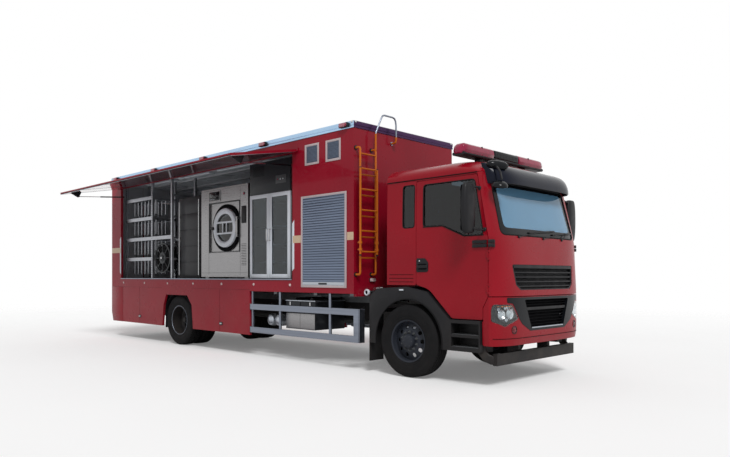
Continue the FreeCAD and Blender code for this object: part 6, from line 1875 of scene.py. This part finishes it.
def rear_wall():
    form = Form(RED_LENS)
    for side in (-1, 1):
        form.use(BLACK_PLASTIC).block((-8.922, side * 1.04 - 0.13, 0.8), (-8.898, side * 1.04 + 0.13, 1.06), 0.01, 3)
        for y, z, finish in ((-0.06, 0.99, RED_LENS), (0.06, 0.99, AMBER_LENS), (-0.06, 0.87, RED_LENS),
                (0.06, 0.87, PINK_LENS)):
            form.use(finish).lathe([(0, 0), (0, 0.048), (0.006, 0.046), (0.012, 0.03), (0.013, 0)],
                    (-8.921, side * 1.04 + y, z), X * -1, 28)
    form.use(CREAM_TAPE).block((-8.9015, -1.19, BAND_LOW), (-8.899, -0.47, BAND_HIGH), 0.0004, 1)
    form.block((-8.9015, 0.47, BAND_LOW), (-8.899, 1.19, BAND_HIGH), 0.0004, 1)
    form.use(BLACK_PLASTIC)
    form.block((-8.925, -0.98, 0.6), (-8.895, 0.98, 0.66), 0.008, 3)
    form.build("rear_lamps")
    door = Form(RUBBER)
    loop = divided(rectangle((-0.448, 1.362), (0.448, 3.248), 0.02), 0.3)
    door.tube([(-8.8985, y, z) for y, z in loop], 0.005, 6, True)
    door.use(SHADE_GLASS).plate(rectangle((-0.272, 2.148), (0.272, 2.742), 0.03), "x", -8.902, -8.894, 0.001)
    door.use(STEEL).tube([(-8.903, 0.36, 1.98), (-8.928, 0.36, 1.985), (-8.93, 0.36, 2.14), (-8.903, 0.36, 2.145)],
            0.009, 10)
    door.build("rear_door_trim", "rear_door")


def ladder():
    """The fixed ladder with its stays, rungs, slide guides and roof hoop, and the length that slides down."""
    form = Form(ORANGE)
    stiles, slides, x, slide_x = (-1.21, -0.865), (-1.275, -0.905), -0.87, -0.806
    for y, slide_y in zip(stiles, slides):
        bend = [(-0.964, 1.44), (-0.9, 1.44), (-0.88, 1.448), (x, 1.47)]
        path = bend + [(a, 4.78 - z) for a, z in bend[::-1]]
        form.tube([(a, y, z) for a, z in path], 0.016, 16)
        for z in (1.81, 1.915):
            middle = Vector((slide_x, slide_y, z))
            inner = 90 if y == stiles[0] else -90
            hook = [middle + Vector((0.0225 * cos(a), 0.0225 * sin(a), 0)) for a in
                    (radians(inner + 48 + 264 * k / 20) for k in range(21))]
            form.sweep(hook, oblong(0.0034, 0.02, 0.001, 1))
            form.tube([(x, y, z), (x + 0.022, slide_y, z), (slide_x - 0.0225, slide_y, z)], 0.01, 10)
    for k in range(6):
        z = 1.69 + 0.311 * k
        form.tube([(x, stiles[0], z), (x, stiles[1], z)], 0.013)
    form.use(BLACK_PLASTIC)
    for y in stiles:
        for z in (1.44, 3.34):
            form.lathe([(0, 0), (0, 0.036), (0.008, 0.034), (0.01, 0.022), (0.01, 0)], (-0.9645, y, z), X, 24)
    form.use(ORANGE).tube([(x, -0.865, 3.33), (x, -0.865, 3.585)], 0.016, 16)
    form.tube([(x, -0.385, 3.6), (x, -0.385, 3.56), (x - 0.01, -0.385, 3.522), (x - 0.03, -0.385, 3.512),
            (-0.964, -0.385, 3.512)], 0.015, 16)
    hoop = [(-0.865, 3.58), (-0.858, 3.615), (-0.735, 3.845), (-0.708, 3.884), (-0.668, 3.899), (-0.47, 3.899),
            (-0.425, 3.888), (-0.398, 3.85), (-0.386, 3.78), (-0.385, 3.595)]
    form.use(GUARD_METAL).tube([(x, y, z) for y, z in hoop], 0.0135, 16)
    form.disc(0, 0.008, 0.032, 0.03, (-0.9645, -0.385, 3.512), X, 24)
    piece = form.build("fixed_ladder")
    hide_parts("ladder")

    low, high = 1.718, 3.03
    slide = Form(ORANGE)
    for y in slides:
        slide.tube([(slide_x, y, low + 0.012), (slide_x, y, high - 0.01)], 0.016, 16)
    for k in range(5):
        z = low + 0.06 + k * (high - low - 0.08) / 4
        slide.tube([(slide_x, slides[0], z), (slide_x, slides[1], z)], 0.013)
    slide.use(BLACK_PLASTIC)
    for y in slides:
        slide.disc(0, 0.02, 0.018, 0.018, (slide_x, y, low), Z, 20)
        slide.disc(-0.012, 0, 0.018, 0.0165, (slide_x, y, high), Z, 20)
    piece = slide.build("sliding_ladder", "ladder_slide")
    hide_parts("ladder_slide")


# Chassis details

LEAF_REACH, ARCH_RADIUS = 0.74, 0.585


def springs_and_bolts():
    form = Form(CHASSIS)
    for side in (-1, 1):
        for x, low in ((0, 0.5), (REAR_AXLE, 0.56)):
            for leaf in range(5):
                reach = LEAF_REACH - 0.12 * leaf
                form.sweep([(x + t * reach, side * 0.39,
                        low + 0.075 - 0.0125 * leaf + 0.04 * t * t * (reach / LEAF_REACH) ** 2)
                        for t in (-1 + k / 8 for k in range(17))], oblong(0.034, 0.0055))
    form.build("spring_leaves")

    bolts = Form(STEEL)
    bolts.disc(-0.001, 0.008, 0.01, 0.01, (-8.4, -0.4305, 0.8), RIGHT, 6)
    grid(bolts, "rail_bolts", "truck", (2, (0, 0, 0.1)), (32, (0.3, 0, 0)))


def tank_and_battery():
    tank = Form(STAINLESS)
    for x in (-2.47, -1.73):
        loop = rectangle((0.476, 0.466), (1.124, 1.044), 0.074, 8)
        tank.sweep([(x, y, z) for y, z in divided(loop, 0.2)], oblong(0.0025, 0.03), closed=True)
    tank.use(BLACK_PLASTIC).lathe([(0, 0), (0, 0.05), (0.02, 0.052), (0.028, 0.04), (0.028, 0)], (-2.1, 1.02, 1.03),
            Vector((0, 0.5, 1)), 28)
    tank.build("tank_straps_and_cap")

    battery = Form(DARK_GREY)
    battery.block((-2.625, -1.16, 0.54), (-1.905, -0.48, 1.002), 0.006, 3)
    battery.use(STAINLESS).block((-2.618, -1.1645, 0.548), (-1.912, -1.158, 0.8), 0.003)
    battery.use(ALUMINIUM).block((-2.632, -1.169, 1), (-1.898, -0.47, 1.019), 0.005, 3)
    battery.use(JOINT_AND_SHADE_BLACK).block((-2.267, -1.1655, 0.56), (-2.263, -1.159, 0.99), 0)
    battery.use(STEEL)
    for x in (-2.51, -2.02):
        battery.block((x - 0.012, -1.172, 0.885), (x + 0.012, -1.158, 0.99), 0.004)
        battery.disc(0, 0.012, 0.009, 0.008, (x, -1.172, 0.91), RIGHT)
    for x in (-2.48, -2.05):
        battery.use(CHASSIS).block((x - 0.03, -1.1, 1.018), (x + 0.03, -0.43, 1.058), 0.004)
    piece = battery.build("battery_case")
    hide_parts("battery_box")


def air_reservoirs():
    air = Form(CHASSIS)
    for x in (-3.18, -2.96):
        air.use(ALUMINIUM).lathe([(-0.3, 0), (-0.295, 0.05), (-0.27, 0.09), (-0.23, 0.1015), (0.23, 0.1015),
                (0.27, 0.09), (0.295, 0.05), (0.3, 0)], (x, -0.78, 0.65), Y, 36)
        for y in (-0.95, -0.62):
            air.use(STEEL).loop_lathe([(-0.014, 0.101), (0.014, 0.101), (0.014, 0.1045), (-0.014, 0.1045)],
                    (x, y, 0.65), Y, 36)
        air.use(CHASSIS).block((x - 0.03, -0.8, 0.75), (x + 0.03, -0.43, 0.8), 0.004)
    air.build("air_reservoirs")


def mudguard_details():
    flaps = Form(RUBBER)
    for side in (-1, 1):
        flaps.block((-6.545, side * 0.6, 0.33), (-6.535, side * 1.18, 0.98))
        flaps.sweep([(REAR_AXLE + 0.578 * cos(a), side * 0.9, WHEEL_RADIUS + 0.56 * sin(a))
                for a in (radians(8 + 164 * k / 24) for k in range(25))], oblong(0.3, 0.004))
    flaps.build("rear_mudguards_and_flaps")

    faces = Form(BLACK_PLASTIC)
    reach = sqrt(ARCH_RADIUS ** 2 - (WHEEL_RADIUS - 0.44) ** 2)
    arch = [(-reach, 0.44)] + [(ARCH_RADIUS * cos(a), WHEEL_RADIUS + ARCH_RADIUS * sin(a))
            for a in (pi * (1 - k / 40) for k in range(41))] + [(reach, 0.44)]
    edge = [(0.702, 0.44), (0.702, 0.842), (0.33, 1.203), (-0.02, 1.266), (-0.56, 1.238), (-0.711, 1.128),
            (-0.711, 0.44)]
    for side in (-1, 1):
        faces.use(BLACK_PLASTIC).plate(edge + arch, "y", side * 1.165, side * 1.1845, 0.003)
        faces.use(RUBBER).sweep([(x, side * 1.1835, z) for x, z in arch], oblong(0.006, 0.005))
    faces.build("front_mudguard_faces")

    marker = Form(GREY_PLASTIC)
    for side in (-1, 1):
        marker.use(GREY_PLASTIC).plate(rectangle((-0.15, 1.205), (-0.05, 1.24), 0.014), "y", side * 1.1835,
                side * 1.196, 0.004, 3)
        marker.use(DOOR_WHITE).plate(rectangle((-0.138, 1.213), (-0.062, 1.232), 0.008), "y", side * 1.19,
                side * 1.202, 0.004, 3)
    marker.build("mudguard_markers")


def bar_ends_and_coupling():
    ends = Form(CHASSIS)
    for side in (-1, 1):
        path = [(x, side * y, z) for x, y, z in ((1.295, 0.96, 0.34), (1.285, 1.01, 0.342), (1.25, 1.052, 0.35),
                (1.19, 1.075, 0.38), (1.14, 1.08, 0.44), (1.13, 1.08, 0.53))]
        ends.sweep(path, oblong(0.028, 0.055, 0.018, 3))
    ends.build("underrun_bar_ends")

    hitch = Form(DOOR_WHITE)
    spot = Vector((-0.903, -1.01, 1.17))
    hitch.loop_lathe([(0, 0.03), (0, 0.048), (0.012, 0.05), (0.03, 0.048), (0.036, 0.042), (0.036, 0.031),
            (0.03, 0.028)], spot, RIGHT, 40)
    hitch.use(JOINT_AND_SHADE_BLACK).lathe([(-0.02, 0), (-0.02, 0.034), (0.018, 0.031), (0.012, 0)], spot, RIGHT, 32)
    hitch.use(CHASSIS).tube([spot + Vector((x, y, 0)) for x, y in ((0, 0), (0, 0.09), (-0.02, 0.13), (-0.06, 0.14))],
            0.028, 16)
    hitch.build("water_coupling")


def treads_and_guards():
    steps = Form(DECK_PLATE)
    for side in (-1, 1):
        for low, high in ((0.494, 0.503), (0.652, 0.662)):
            steps.block((0.735, side * 1.178, low), (1.14, side * 0.985, high))
    steps.build("step_treads")

    guard = Form(GUARD_METAL)
    for side in (-1, 1):
        guard.block((-0.975, side * 1.224, 0.421), (-0.851, side * 1.2495, 0.924), 0.006, 3)
        guard.block((-0.872, side * 1.13, 0.421), (-0.851, side * 1.2495, 0.924), 0.006, 3)
    guard.use(GREY_PLASTIC)
    for side in (-1, 1):
        for z in (0.873, 0.471):
            guard.block((-3.516, side * 1.2515, z - 0.053), (-3.5, side * 1.22, z + 0.053), 0.004)
    guard.build("guard_end_caps")


def build_all():
    finish_nodes()
    box_body()
    cab()
    for side in (-1, 1):
        front_wheel(side)
        rear_wheels(side)
    washer()
    washer_door()
    cabinet_doors()
    rack_details()
    hose_reel()
    middle_cabinet()
    side_flap()
    rear_wall()
    ladder()
    springs_and_bolts()
    tank_and_battery()
    air_reservoirs()
    mudguard_details()
    bar_ends_and_coupling()
    treads_and_guards()
    stage()


build_all()
bpy.context.view_layer.update()
